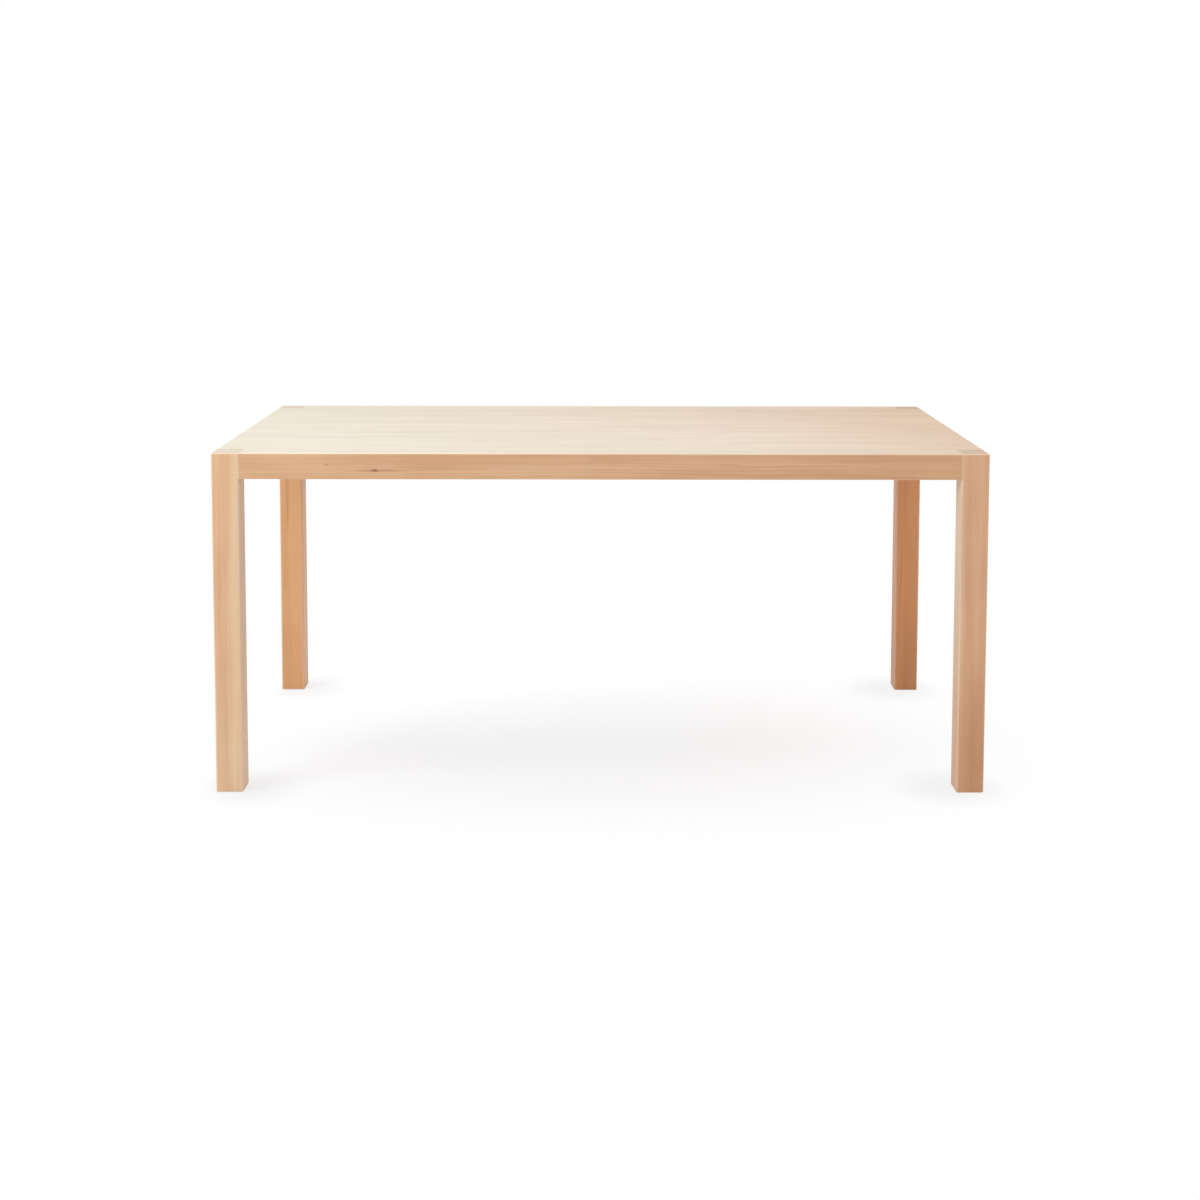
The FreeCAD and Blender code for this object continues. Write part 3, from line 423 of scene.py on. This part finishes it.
def daylight_on(x, y):
    """From 1 at the left front corner down to a quarter at the right back one."""
    return 1 - DAYLIGHT_LOST * step(x + BACK_COUNTS * y, *DAYLIGHT_FADES)


print("daylight fades over", DAYLIGHT_FADES[1] - DAYLIGHT_FADES[0], "metres")

# %% [markdown]
# A painted highlight runs along the arrises, where the rounded edges catch the lamps, the upper ones
# most. An arris is found by its normal: on it, no axis comes close to 1. Last come the flaws that
# mark real wood: brown mineral streaks, a few knots in the front edge with the long streaks that
# trail from them, and a slight darkening of all end grain.

# %% Painted arris highlights and flaws
# The colour of the highlight painted on the arrises.
ARRIS_HIGHLIGHT = screen(250, 226, 202)
ROUNDED = (0.985, 0.9)
HIGHLIGHT_BELOW, HIGHLIGHT_MORE_ABOVE, UPPER_ARRIS = 0.45, 0.35, (0.1, 0.5)
HIGHLIGHT_EVENLY, HIGHLIGHT_IN_STREAKS = 0.6, 0.8
BROWN = screen(142, 88, 52)
MINERAL, MINERAL_WAVES, MINERAL_STREAK = 0.4, (46, 46, 1.3), (0.64, 0.78)
KNOT, RAGGEDNESS = (1.0, 0.25), 0.9
END_DARKENING, END_ON = 0.1, (0.55, 0.95)

# The centre of each knot, how far it reaches along each axis, and how strong it is.
FRONT_KNOTS = (((-0.487, -0.425, 0.7125), (0.011, 0.02, 0.0042), 0.78),
               ((-0.482, -0.425, 0.7120), (0.075, 0.02, 0.0042), 0.34),
               ((-0.591, -0.425, 0.7245), (0.007, 0.02, 0.0030), 0.42),
               ((0.275, -0.425, 0.7250), (0.040, 0.02, 0.0030), 0.22))


# Paints a highlight along the arrises, strongest on the upper ones.
def paint_arris_highlights(wood, facing, streaks):
    rounded = step(greatest(*map(abs, facing)), *ROUNDED)
    highlighted = rounded * (HIGHLIGHT_BELOW + HIGHLIGHT_MORE_ABOVE * step(facing[2], *UPPER_ARRIS))
    return blend(highlighted * (HIGHLIGHT_EVENLY + HIGHLIGHT_IN_STREAKS * streaks), wood, ARRIS_HIGHLIGHT)


def add_flaws(wood, place, log, streaks, knots, end_on):
    wood = blend(MINERAL * step(noise(log, MINERAL_WAVES), *MINERAL_STREAK), wood, BROWN)
    for centre, reach, strength in knots:
        ragged = distance((place - centre) / reach) + RAGGEDNESS * (streaks - 0.5)
        wood = blend(strength * step(ragged, *KNOT), wood, BROWN)
    return blend(END_DARKENING * step(end_on, *END_ON), wood, BROWN)


print(len(FRONT_KNOTS), "knots and streaks in the front edge")

# %% [markdown]
# The oil is a thin coat over all this. It shines less on end grain, and less towards the right end
# of the top, which is used more. The fibres, streaks and rings can be felt a little. In the mesh
# they would take millions of faces, so a bump of a fifth of a millimetre shades them instead.

# %% The whole finish
DULLER_ON_ENDS = 0.6
DULLER_AT_RIGHT, RIGHT_END = 0.7, (0.3, 0.85)
OIL_ROUGHNESS = 0.3
STREAKS_ROUGHEN = 0.12
FELT_FIBRES, FELT_STREAKS, FELT_RINGS = 0.6, 0.4, 0.3
WOOD_RELIEF, WOOD_BUMP = 0.0002, 0.5


def surface(bench, height, depth, strength, sockets):
    """Ends a finish with a Principled surface that has a bump."""
    bump = {"Height": height, "Distance": depth, "Strength": strength}
    relief = bench.node("ShaderNodeBump", sockets=bump, output="Normal")
    body = bench.node("ShaderNodeBsdfPrincipled", sockets={**sockets, "Normal": relief})
    bench.node("ShaderNodeOutputMaterial", sockets={"Surface": body})


def timber(name, pale, deep, gloss, coat, window_lit=None, upright=False, knots=()):
    """The figure goes from the pale colour to the deep one. Gloss is the roughness of the bare
    wood, and coat is how much oil lies on it."""
    finish = bpy.data.materials.new(name)
    bench = bench_of(finish)
    place = bench.node("ShaderNodeTexCoord", output="Object")
    normal = bench.node("ShaderNodeTexCoord", output="Normal")
    x, y, z = apart(place)
    facing = apart(normal)
    log, end_on = sawn_log(bench, place, normal, upright)
    from_heart, rings = growth_rings(log)
    depth, noises = figure(log, rings)
    streaks, fibres = noises["streaks"], noises["fibres"]
    upward = step(facing[2], *FACING_UP)
    daylight = daylight_on(x, y)
    tone = fact(bench, "tone")
    if upright:
        # End grain on the tops of the legs, under painted light and shade.
        tone = blend(upward, tone, blend(daylight, END_IN_SHADE, END_IN_SUN))
    wood = blend(depth, pale, deep) * tone
    if upright:
        wood = leg_colours(bench, wood, from_heart, z)
    # Painted window light on the faces that look up.
    if window_lit:
        wood = blend(upward * daylight, wood, blend(depth, *window_lit) * tone)
    shine = coat
    if coat:
        # A painted highlight on the arrises.
        wood = paint_arris_highlights(wood, facing, streaks)
        dull = DULLER_ON_ENDS * end_on if upright else DULLER_AT_RIGHT * step(x, *RIGHT_END)
        shine = coat * (1 - upward * dull)
    wood = add_flaws(wood, place, log, streaks, knots, end_on)
    felt = FELT_FIBRES * fibres + FELT_STREAKS * streaks - FELT_RINGS * rings
    surface(bench, felt, WOOD_RELIEF, WOOD_BUMP,
            {"Base Color": wood, "Roughness": gloss + STREAKS_ROUGHEN * (streaks - 0.5),
             "Coat Weight": shine, "Coat Roughness": OIL_ROUGHNESS})
    print(f"{name}: {len(finish.node_tree.nodes)} nodes")
    return finish


# %% [markdown]
# Four finishes are made with it. The top is oiled most, the legs and the rails less, and the wood
# under the top is planed and left bare.

# %% Four kinds of wood
top_wood = timber("oiled_maple_top", screen(228, 181, 139), screen(204, 148, 104),
                  gloss=0.42, coat=0.6, window_lit=WINDOW_LIT_COLOURS)
leg_wood = timber("oiled_maple_legs", screen(236, 192, 152), screen(212, 160, 117),
                  gloss=0.5, coat=0.25, window_lit=WINDOW_LIT_COLOURS, upright=True)
rail_wood = timber("oiled_maple_rails", screen(229, 184, 144), screen(205, 151, 109),
                   gloss=0.5, coat=0.25, knots=FRONT_KNOTS)
inner_wood = timber("planed_maple", screen(224, 186, 150), screen(204, 160, 122),
                    gloss=0.6, coat=0.0)

# %% [markdown]
# ## Steel and nylon
#
# Bolts and screws are zinc plated, a bright grey with a faint mottle and a soft gloss, and the
# glides under the feet are off-white nylon. Both are plain materials, so a little noise in the
# colour and the roughness is all that keeps them from looking like toys.

# %% Two plain finishes
MOTTLE_WAVES = (260, 260, 260)
MOTTLE_ROUGHENS = 0.2
GRIT_WAVES = (2600, 2600, 2600)
GRIT_RELIEF, GRIT_BUMP = 0.00005, 0.3


def plain(name, light, dark, metal, gloss):
    finish = bpy.data.materials.new(name)
    bench = bench_of(finish)
    place = bench.node("ShaderNodeTexCoord", output="Object")
    mottle = noise(place, MOTTLE_WAVES, 3.0)
    surface(bench, noise(place, GRIT_WAVES, 1.0), GRIT_RELIEF, GRIT_BUMP,
            {"Base Color": blend(mottle, light, dark), "Metallic": metal,
             "Roughness": gloss + MOTTLE_ROUGHENS * (mottle - 0.5)})
    return finish


zinc = plain("bright_zinc", screen(226, 228, 232), screen(196, 198, 200), metal=1.0, gloss=0.34)
nylon = plain("white_nylon", screen(232, 229, 220), screen(220, 216, 206), metal=0.0, gloss=0.5)
print(zinc.name, nylon.name)

# %% [markdown]
# A node's finish is chosen by how its name starts, and what is in no such group is steel. The
# materials go into the slots that the nodes came with, so the shapes stay as they are.

# %% Dress every node
FINISHES = {"top_board": top_wood, "leg_": leg_wood, "rail_": rail_wood, "cross_bearer": inner_wood,
            "corner_block": inner_wood, "top_buttons": inner_wood, "floor_glides": nylon}
for name, piece in pieces.items():
    finish = next((made for start, made in FINISHES.items() if name.startswith(start)), zinc)
    for slot in piece.material_slots:
        slot.material = finish
print({name: piece.material_slots[0].material.name for name, piece in list(pieces.items())[:3]})

# %% [markdown]
# ## Bolts, nuts and screws, made again
#
# The steel came in as smooth turned blanks. Real screws have a rolled thread and a cross recess
# pressed into the head, and nuts have their corners chamfered. A sculpted texture could fake all
# this, but the nuts and the bolts' ends are seen from below, so the steel is made again in mesh
# code, in millimetres. Everything turned is a stack of rings round Z, skinned from ring to ring.

# %% Rings and their skin
MM = 0.001
ROUND = 24


def turned_point(steel, radius, angle, height):
    x, y = radius * MM * math.cos(angle), radius * MM * math.sin(angle)
    return steel.verts.new((x, y, height * MM))


def ring(steel, radius, height):
    """A ring of points round Z, or a single point where the radius is nought."""
    if not radius:
        return [steel.verts.new((0, 0, height * MM))]
    return [turned_point(steel, radius, 2 * math.pi * k / ROUND, height) for k in range(ROUND)]


def skin(steel, rings):
    for lower, upper in zip(rings, rings[1:]):
        for k in range(max(len(lower), len(upper))):
            corners = (lower[k % len(lower)], lower[(k + 1) % len(lower)],
                       upper[(k + 1) % len(upper)], upper[k % len(upper)])
            steel.faces.new(tuple(dict.fromkeys(corners)))


print("turned work has", ROUND, "faces round it")

# %% [markdown]
# A thread winds up the shank, so its rows of points climb as they go round: the end of one row
# meets the start of the row one turn above. Rows that would run past either end are pressed flat
# onto it, and the spare points there are welded together afterwards.

# %% Wind a thread
# The rows of one turn, from 0 at the root of the thread to 1 at its crest.
WOOD_THREAD = (1, 0.1, 0, 0)
MACHINE_THREAD = (1, 0)


def thread(steel, start, end, crest, root, pitch, shape, point=0.0):
    """Winds a thread and returns its number of turns. Over the last stretch, as long as the
    point, it narrows to a tip."""
    turn = len(shape)
    rows = []
    for number in range(-turn, math.ceil((end - start) / pitch * turn) + turn + 1):
        row = []
        for k in range(ROUND):
            climb = (number + turn * k / ROUND) / turn * pitch
            height = start + min(max(climb, 0), end - start)
            fade = min(max(climb / pitch, 0), max((end - height) / pitch, 0), 1)
            radius = root + (crest - root) * shape[number % turn] * fade
            if point:
                radius *= min(1, (end - height) / point)
            row.append(turned_point(steel, radius, 2 * math.pi * k / ROUND, height))
        rows.append(row)
    for number in range(len(rows) - turn - 1):
        lower = rows[number] + rows[number + turn][:1]
        upper = rows[number + 1] + rows[number + 1 + turn][:1]
        for k in range(ROUND):
            steel.faces.new((lower[k], lower[k + 1], upper[k + 1], upper[k]))
    return math.floor((end - start) / pitch)


print("a wood screw's thread is a thin fin, and a bolt's is a plain V")

# %% [markdown]
# The recess for the driver is a cross whose walls lean in. It could be cut with a boolean, but in
# so small a head that leaves slivers. Filling the flat between the rim and the mouth of the cross
# with triangles, and skinning its walls down to a smaller cross, gives clean faces.

# %% Press a cross into a head
CROSS_FLOOR = 0.45
WELD = 1e-7
SHARP_ANGLE = math.radians(32)


def cross_recess(steel, rim, reach, arm, depth):
    """Closes the end of a head inside its rim, with a cross that narrows as it goes in."""
    quarter = ((reach, -arm), (reach, arm), (arm, arm))
    quarter_turns = ((1, 0), (0, 1), (-1, 0), (0, -1))
    outline = [(x * c - y * s, x * s + y * c) for c, s in quarter_turns for x, y in quarter]
    top = rim[0].co.z
    mouth = [steel.verts.new((x * MM, y * MM, top)) for x, y in outline]
    floor = [steel.verts.new((CROSS_FLOOR * x * MM, CROSS_FLOOR * y * MM, top + depth * MM))
             for x, y in outline]
    skin(steel, [mouth, floor])
    steel.faces.new(floor)
    edges = [steel.edges.get((a, b)) or steel.edges.new((a, b))
             for loop in (rim, mouth) for a, b in zip(loop, loop[1:] + loop[:1])]
    bmesh.ops.triangle_fill(steel, use_beauty=True, edges=edges)


def finished(steel, name):
    """Welds the model, turns its faces outward and keeps its corners crisp."""
    bmesh.ops.remove_doubles(steel, verts=steel.verts, dist=WELD)
    bmesh.ops.recalc_face_normals(steel, faces=steel.faces)
    for face in steel.faces:
        face.smooth = True
    model = bpy.data.meshes.new(name)
    steel.to_mesh(model)
    steel.free()
    model.set_sharp_from_angle(angle=SHARP_ANGLE)
    loose = len(model.edges) - len({key for face in model.polygons for key in face.edge_keys})
    print(f"{name}: {len(model.polygons)} faces, {loose} loose edges")
    return model


# %% [markdown]
# ## Where each fastener stands
#
# One node holds all the screws of a kind. Its mesh falls apart into separate solids, and the box
# of each one along its own axis says where the screw starts and how long it is. So the new screws
# stand exactly in the holes, without a single place being copied by hand.

# %% Take a node apart
def solids_of(name):
    """The points of each separate solid in a node."""
    whole = bmesh.new()
    whole.from_mesh(pieces[name].data)
    bmesh.ops.remove_doubles(whole, verts=whole.verts, dist=WELD)
    reached, solids = set(), []
    for first in whole.verts:
        if first in reached:
            continue
        reached.add(first)
        solid = [first]
        for point in solid:
            for edge in point.link_edges:
                other = edge.other_vert(point)
                if other not in reached:
                    reached.add(other)
                    solid.append(other)
        solids.append([point.co.copy() for point in solid])
    whole.free()
    return solids


print({name: len(solids_of(name)) for name in ("hanger_bolts", "bolt_nuts", "bearer_screws")})

# %% Where a solid starts, and how long it is
def outward(points, diagonal):
    """From the middle of the table towards a solid: along X or Y, or to the corner."""
    spans = [max(p[axis] for p in points) - min(p[axis] for p in points) for axis in (0, 1)]
    x, y = (math.copysign(1, sum(p[axis] for p in points)) for axis in (0, 1))
    if diagonal:
        return x, y, 0
    return (x, 0, 0) if spans[0] > spans[1] else (0, y, 0)


def stand(points, direction, turn=0.0):
    """A matrix that stands a model, made along Z, at the start of a solid, and the solid's length
    in millimetres."""
    ahead = Vector(direction).normalized()
    side = Vector((1, 0, 0)) if abs(ahead.z) > 0.5 else Vector((0, 0, 1))
    into_axes = Matrix((side, ahead.cross(side), ahead))
    out_of_axes = into_axes.transposed()
    rows = zip(*(into_axes @ point for point in points))
    (x0, x1), (y0, y1), (z0, z1) = ((min(row), max(row)) for row in rows)
    start = out_of_axes @ Vector(((x0 + x1) / 2, (y0 + y1) / 2, z0))
    spot = Matrix.Translation(start) @ out_of_axes.to_4x4() @ Matrix.Rotation(turn, 4, "Z")
    return spot, (z1 - z0) / MM


bolt = solids_of("hanger_bolts")[0]
print(f"a hanger bolt is {stand(bolt, outward(bolt, True))[1]:.1f} mm long")

# %% [markdown]
# However many screws a node has, they become one new piece that takes its place. The node itself
# is hidden and not deleted, because it still stands for the steel wherever the table is handled
# as solids.

# %% Put new steel in a node's place
def stand_in(node, model, spots):
    steel = bmesh.new()
    for spot in spots:
        count = len(steel.verts)
        steel.from_mesh(model)
        steel.verts.ensure_lookup_table()
        bmesh.ops.transform(steel, matrix=spot, verts=steel.verts[count:])
    mesh = bpy.data.meshes.new(f"{node}_cut")
    steel.to_mesh(mesh)
    steel.free()
    mesh.materials.append(zinc)
    piece = bpy.data.objects.new(f"{node}_cut", mesh)
    bpy.context.scene.collection.objects.link(piece)
    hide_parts(node)
    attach(piece, "root")
    print(f"{piece.name}: {len(spots)} of {len(model.polygons)} faces each")


# %% [markdown]
# ## The screws
#
# Bearers and corner blocks are held by round-head screws sunk in recesses, the wooden buttons by
# countersunk ones. Each kind could have a function of its own, but they differ only in the outline
# of the head, in the cross, and in how much of the shank is smooth, so one function takes these as
# a shape. All are driven by hand, so no two crosses are turned alike: each is turned by the golden
# angle from the last, which never repeats.

# %% A wood screw
# The rings of the head, and the reach, arm and depth of the cross, are shares of the head's radius
# and height. The smooth stretch is a share of the screw's length.
ROUND_HEAD = {"rings": ((0.6, 0), (0.82, 0.1), (0.95, 0.3), (1, 0.55), (1, 0.94), (0.97, 1)),
              "cross": (0.36, 0.1, 0.55), "smooth": 0.28}
SUNK_HEAD = {"rings": ((0.97, 0), (1, 0.25 / 2.2)), "cross": (0.42, 0.12, 0.7), "smooth": 3 / 32}
THREAD_ROOT = 0.7
RUN_OUT = 0.5
SCREW_POINT = 4.0


def wood_screw(name, shape, head, head_height, shank, pitch, length):
    steel = bmesh.new()
    root = THREAD_ROOT * shank
    smooth_end = head_height + shape["smooth"] * length
    thread_start = smooth_end + RUN_OUT
    crown = [ring(steel, radius * head, height * head_height) for radius, height in shape["rings"]]
    neck = [ring(steel, shank, head_height), ring(steel, shank, smooth_end),
            ring(steel, root, thread_start)]
    skin(steel, crown + neck)
    reach, arm, depth = shape["cross"]
    cross_recess(steel, crown[0], reach * head, arm * head, depth * head_height)
    thread(steel, thread_start, length, shank, root, pitch, WOOD_THREAD, SCREW_POINT)
    return finished(steel, name)


print("a thread's root is", THREAD_ROOT, "of its shank")

# %% Three kinds of screw
GOLDEN_ANGLE = math.radians(137.5)

# The shape, the head's radius and height, the shank's radius and the pitch, in millimetres.
SCREWS = {"bearer_screws": (ROUND_HEAD, 4.5, 3.0, 2.25, 2.2),
          "block_screws": (ROUND_HEAD, 4.2, 2.8, 2.1, 2.0),
          "button_screws": (SUNK_HEAD, 3.8, 2.2, 2.0, 1.8)}
for node, sizes in SCREWS.items():
    sideways = node == "block_screws"
    stands = [stand(solid, outward(solid, False) if sideways else (0, 0, 1), number * GOLDEN_ANGLE)
              for number, solid in enumerate(solids_of(node))]
    model = wood_screw(f"one_of_{node}", *sizes, length=stands[0][1])
    stand_in(node, model, [spot for spot, _ in stands])

# %% [markdown]
# ## The hanger bolts and their nuts
#
# A hanger bolt has a coarse thread for wood at one end, which is driven into the leg, and a fine
# one for a nut at the other, with a smooth collar between them. On a hexagon nut the chamfer is a
# cone, and where it meets the six flats it leaves curved edges. A bevel would cut straight ones, so
# each point round the nut gets the height at which the cone reaches the flat there.

# %% Hanger bolts
BOLT_RADIUS = 4.0
END_RADIUS, END_CHAMFER = 0.72 * BOLT_RADIUS, 0.5
FINE_ROOT, FINE_PITCH = 0.83 * BOLT_RADIUS, 1.25
COARSE_ROOT, COARSE_PITCH = 0.7 * BOLT_RADIUS, 3.0
COLLAR_RADIUS = 0.92 * BOLT_RADIUS
BOLT_POINT = 7.0
IN_LEG = 42.0

# Radii of the collar, and their heights from where the bolt goes into the leg.
COLLAR = ((FINE_ROOT, -5), (COLLAR_RADIUS, -4.6), (COLLAR_RADIUS, 2), (COARSE_ROOT, 3))


def hanger_bolt(length):
    steel = bmesh.new()
    entry = length - IN_LEG
    fine_end, coarse_start = entry + COLLAR[0][1], entry + COLLAR[-1][1]
    skin(steel, [ring(steel, 0, 0), ring(steel, END_RADIUS, 0), ring(steel, FINE_ROOT, END_CHAMFER)])
    turns = thread(steel, END_CHAMFER, fine_end, BOLT_RADIUS, FINE_ROOT, FINE_PITCH, MACHINE_THREAD)
    skin(steel, [ring(steel, radius, entry + height) for radius, height in COLLAR])
    turns += thread(steel, coarse_start, length, BOLT_RADIUS, COARSE_ROOT, COARSE_PITCH, WOOD_THREAD,
                    BOLT_POINT)
    print("a hanger bolt has", turns, "turns of thread")
    return finished(steel, "one_hanger_bolt")


stands = [stand(solid, outward(solid, True)) for solid in solids_of("hanger_bolts")]
stand_in("hanger_bolts", hanger_bolt(stands[0][1]), [spot for spot, _ in stands])

# %% Hexagon nuts
ACROSS_FLATS = 13.0
FACE_RADIUS = 0.475 * ACROSS_FLATS
CHAMFER_SLOPE = math.tan(math.radians(60))
HALF_FLAT = math.pi / 6


def hexagon_nut(thickness):
    steel = bmesh.new()
    count = 2 * ROUND
    angles = [2 * math.pi * k / count for k in range(count)]
    reaches = [ACROSS_FLATS / 2 / math.cos(angle % (2 * HALF_FLAT) - HALF_FLAT) for angle in angles]
    cone = [max(reach - FACE_RADIUS, 0) / CHAMFER_SLOPE for reach in reaches]

    def loop(radii, heights):
        return [turned_point(steel, *point) for point in zip(radii, angles, heights)]

    bore, face = [BOLT_RADIUS] * count, [FACE_RADIUS] * count
    bottom, top = [0] * count, [thickness] * count
    rings = [loop(bore, bottom), loop(face, bottom), loop(reaches, cone),
             loop(reaches, [thickness - height for height in cone]), loop(face, top), loop(bore, top)]
    skin(steel, rings + rings[:1])
    return finished(steel, "one_nut")


stands = [stand(solid, outward(solid, True)) for solid in solids_of("bolt_nuts")]
stand_in("bolt_nuts", hexagon_nut(stands[0][1]), [spot for spot, _ in stands])

# %% [markdown]
# ## The studio
#
# The table was photographed on a seamless white ground with one large soft light from the upper
# left. The ground could be lit until it turns white, but that light would bleach the wood too.
# Here the lamps stay at a plain level, and the ground gets the missing white only where the
# camera, or a reflection, looks at it. For all other light it is plain pale paper.

# %% The ground
FLOOR_REACH = 60
ground_mesh = bpy.data.meshes.new("ground")
corners = [(x * FLOOR_REACH, y * FLOOR_REACH, 0) for x, y in ((-1, -1), (1, -1), (1, 1), (-1, 1))]
ground_mesh.from_pydata(corners, [], [(0, 1, 2, 3)])
ground = bpy.data.objects.new("ground", ground_mesh)
bpy.context.scene.collection.objects.link(ground)


def seen(bench):
    """1 where the camera or a mirror image looks, and 0 where only light bounces."""
    rays = ("Is Camera Ray", "Is Glossy Ray", "Is Transmission Ray")
    return greatest(*(bench.node("ShaderNodeLightPath", output=ray) for ray in rays))


print("the ground is", 2 * FLOOR_REACH, "metres wide")

# %% [markdown]
# Far from the table the seen ground only glows, at full white. Near it, a little over half of the
# white is a glow and the rest is paper that the lamps light, and on that rest the table's soft
# shadow shows, slightly blue in the middle. Behind the table the shadow is weaker, so the glow is
# stronger there. Close round the feet a contact shadow is painted: the glow is dimmed a little, as
# where a foot stands on paper and hardly any light gets in.

# %% Paper with a shadow
PAPER = (0.8, 0.8, 0.8, 1)
BLACK, WHITE = (0, 0, 0, 1), (1, 1, 1, 1)
SHADOW_MIDDLE, SHADOW_STRETCH = (-0.12, 0.05, 0), (0.76, 1, 1)
SHADOW_FADES = (0.25, 1.05)
COOL, NEUTRAL, COOLNESS_FADES = (0.395, 0.45, 0.495, 1), (0.43, 0.45, 0.478, 1), (0.1, 0.55)
GLOW_IN_FRONT, GLOW_BEHIND = (0.606, 0.606, 0.606, 1), (0.66, 0.66, 0.66, 1)
BEHIND = (-0.15, 0.2)
# The middles of the painted contact shadows, a little inside the feet.
FOOT_X, FOOT_Y = 0.775, 0.385
FOOT_SHADOW_DEPTH, FOOT_SHADOW_REACH = 0.09, (0.16, 0.03)

paper = bpy.data.materials.new("studio_paper")
bench = bench_of(paper)
place = bench.node("ShaderNodeTexCoord", output="Object")
x, y, _ = apart(place)
from_table = distance((place - SHADOW_MIDDLE) * SHADOW_STRETCH)
from_foot = distance(together(abs(x) - FOOT_X, abs(y) - FOOT_Y, 0))
# A painted contact shadow round each foot dims the glow.
outside_foot_shadow = 1 - FOOT_SHADOW_DEPTH * step(from_foot, *FOOT_SHADOW_REACH)
tint = blend(step(from_table, *COOLNESS_FADES), COOL, NEUTRAL)
glow = blend(step(y, *BEHIND), GLOW_IN_FRONT, GLOW_BEHIND) * outside_foot_shadow
lit = bench.node("ShaderNodeBsdfDiffuse", sockets={"Color": tint})
glowing = bench.node("ShaderNodeEmission", sockets={"Color": glow})
near = bench.node("ShaderNodeAddShader", sockets={0: lit, 1: glowing})
far = bench.node("ShaderNodeEmission", sockets={"Color": blend(outside_foot_shadow, BLACK, WHITE)})
looked_at = bench.node("ShaderNodeMixShader",
                       sockets={0: step(from_table, *SHADOW_FADES), 1: near, 2: far})
unseen = bench.node("ShaderNodeBsdfDiffuse", sockets={"Color": PAPER})
face = bench.node("ShaderNodeMixShader", sockets={0: seen(bench), 1: unseen, 2: looked_at})
bench.node("ShaderNodeOutputMaterial", sockets={"Surface": face})
ground_mesh.materials.append(paper)
print(f"{paper.name}: {len(paper.node_tree.nodes)} nodes")

# %% [markdown]
# The world round the table fills the shadows with even, slightly warm light. Like the ground, it is
# white only where it is looked at.

# %% The sky
SKY = 0.72
SKY_LIGHT = (SKY, 0.975 * SKY, 0.95 * SKY, 1)
world = bpy.data.worlds.new("studio")
bench = bench_of(world)
tint = blend(seen(bench), SKY_LIGHT, WHITE)
sky = bench.node("ShaderNodeBackground", sockets={"Color": tint, "Strength": 1.0})
bench.node("ShaderNodeOutputWorld", sockets={"Surface": sky})
bpy.context.scene.world = world
print("the sky lights at", SKY)

# %% [markdown]
# Two soft boxes stand for the window and the ceiling. A lamp shows in glossy surfaces too, and from
# the far side of the table the mirror image of the window washes the pale top out to white. Its
# light is wanted and its image is not, so the window lamp is hidden from glossy rays alone.

# %% The lamps
def soft_box(name, place, target, side, power, colour):
    """A square lamp that looks from its place to its target. Power is in watts."""
    lamp = bpy.data.lights.new(name, "AREA")
    lamp.color = colour
    lamp.shape = "SQUARE"
    lamp.size = side
    lamp.energy = power
    box = bpy.data.objects.new(name, lamp)
    box.location = place
    box.rotation_euler = (Vector(target) - Vector(place)).to_track_quat("-Z", "Y").to_euler()
    bpy.context.scene.collection.objects.link(box)
    return box


window = soft_box("window_light", place=(-3.6, -2.4, 2.6), target=(0, 0, 0.6), side=2.4, power=72,
                  colour=(0.93, 1, 1))
window.visible_glossy = False
soft_box("ceiling_light", place=(-0.9, 0.8, 3.4), target=(0, 0, 0.5), side=2.2, power=28,
         colour=(0.95, 1, 1))

# %% [markdown]
# ## The camera
#
# It stood about four metres from the middle of the table, a little below eye height, and looked
# almost level, so the legs stay nearly upright in the picture. Looking further down would bring the
# feet into the frame, but the legs would then run together. Instead the lens is shifted down.

# %% Set up the camera
PHOTO_WIDTH = 1200
FOCAL_PIXELS = 1721.24
LENS_SHIFT = -0.22
CAMERA_PLACE = (-0.00654, -4.10095, 1.29871)
YAW, PITCH, ROLL = -0.0014, -0.08, -0.0016
lens = bpy.data.cameras.new("studio_camera")
lens.sensor_width = 36
lens.lens = FOCAL_PIXELS / PHOTO_WIDTH * lens.sensor_width
lens.shift_y = LENS_SHIFT
camera = bpy.data.objects.new("studio_camera", lens)
aim = Matrix.Rotation(YAW, 4, "Z") @ Matrix.Rotation(PITCH, 4, "X") @ Matrix.Rotation(ROLL, 4, "Y")
level = Matrix.Rotation(math.pi / 2, 4, "X")
camera.matrix_world = Matrix.Translation(CAMERA_PLACE) @ aim @ level
bpy.context.scene.collection.objects.link(camera)
bpy.context.scene.camera = camera
bpy.context.scene.view_settings.view_transform = "Standard"
print("camera at", tuple(camera.matrix_world.translation))
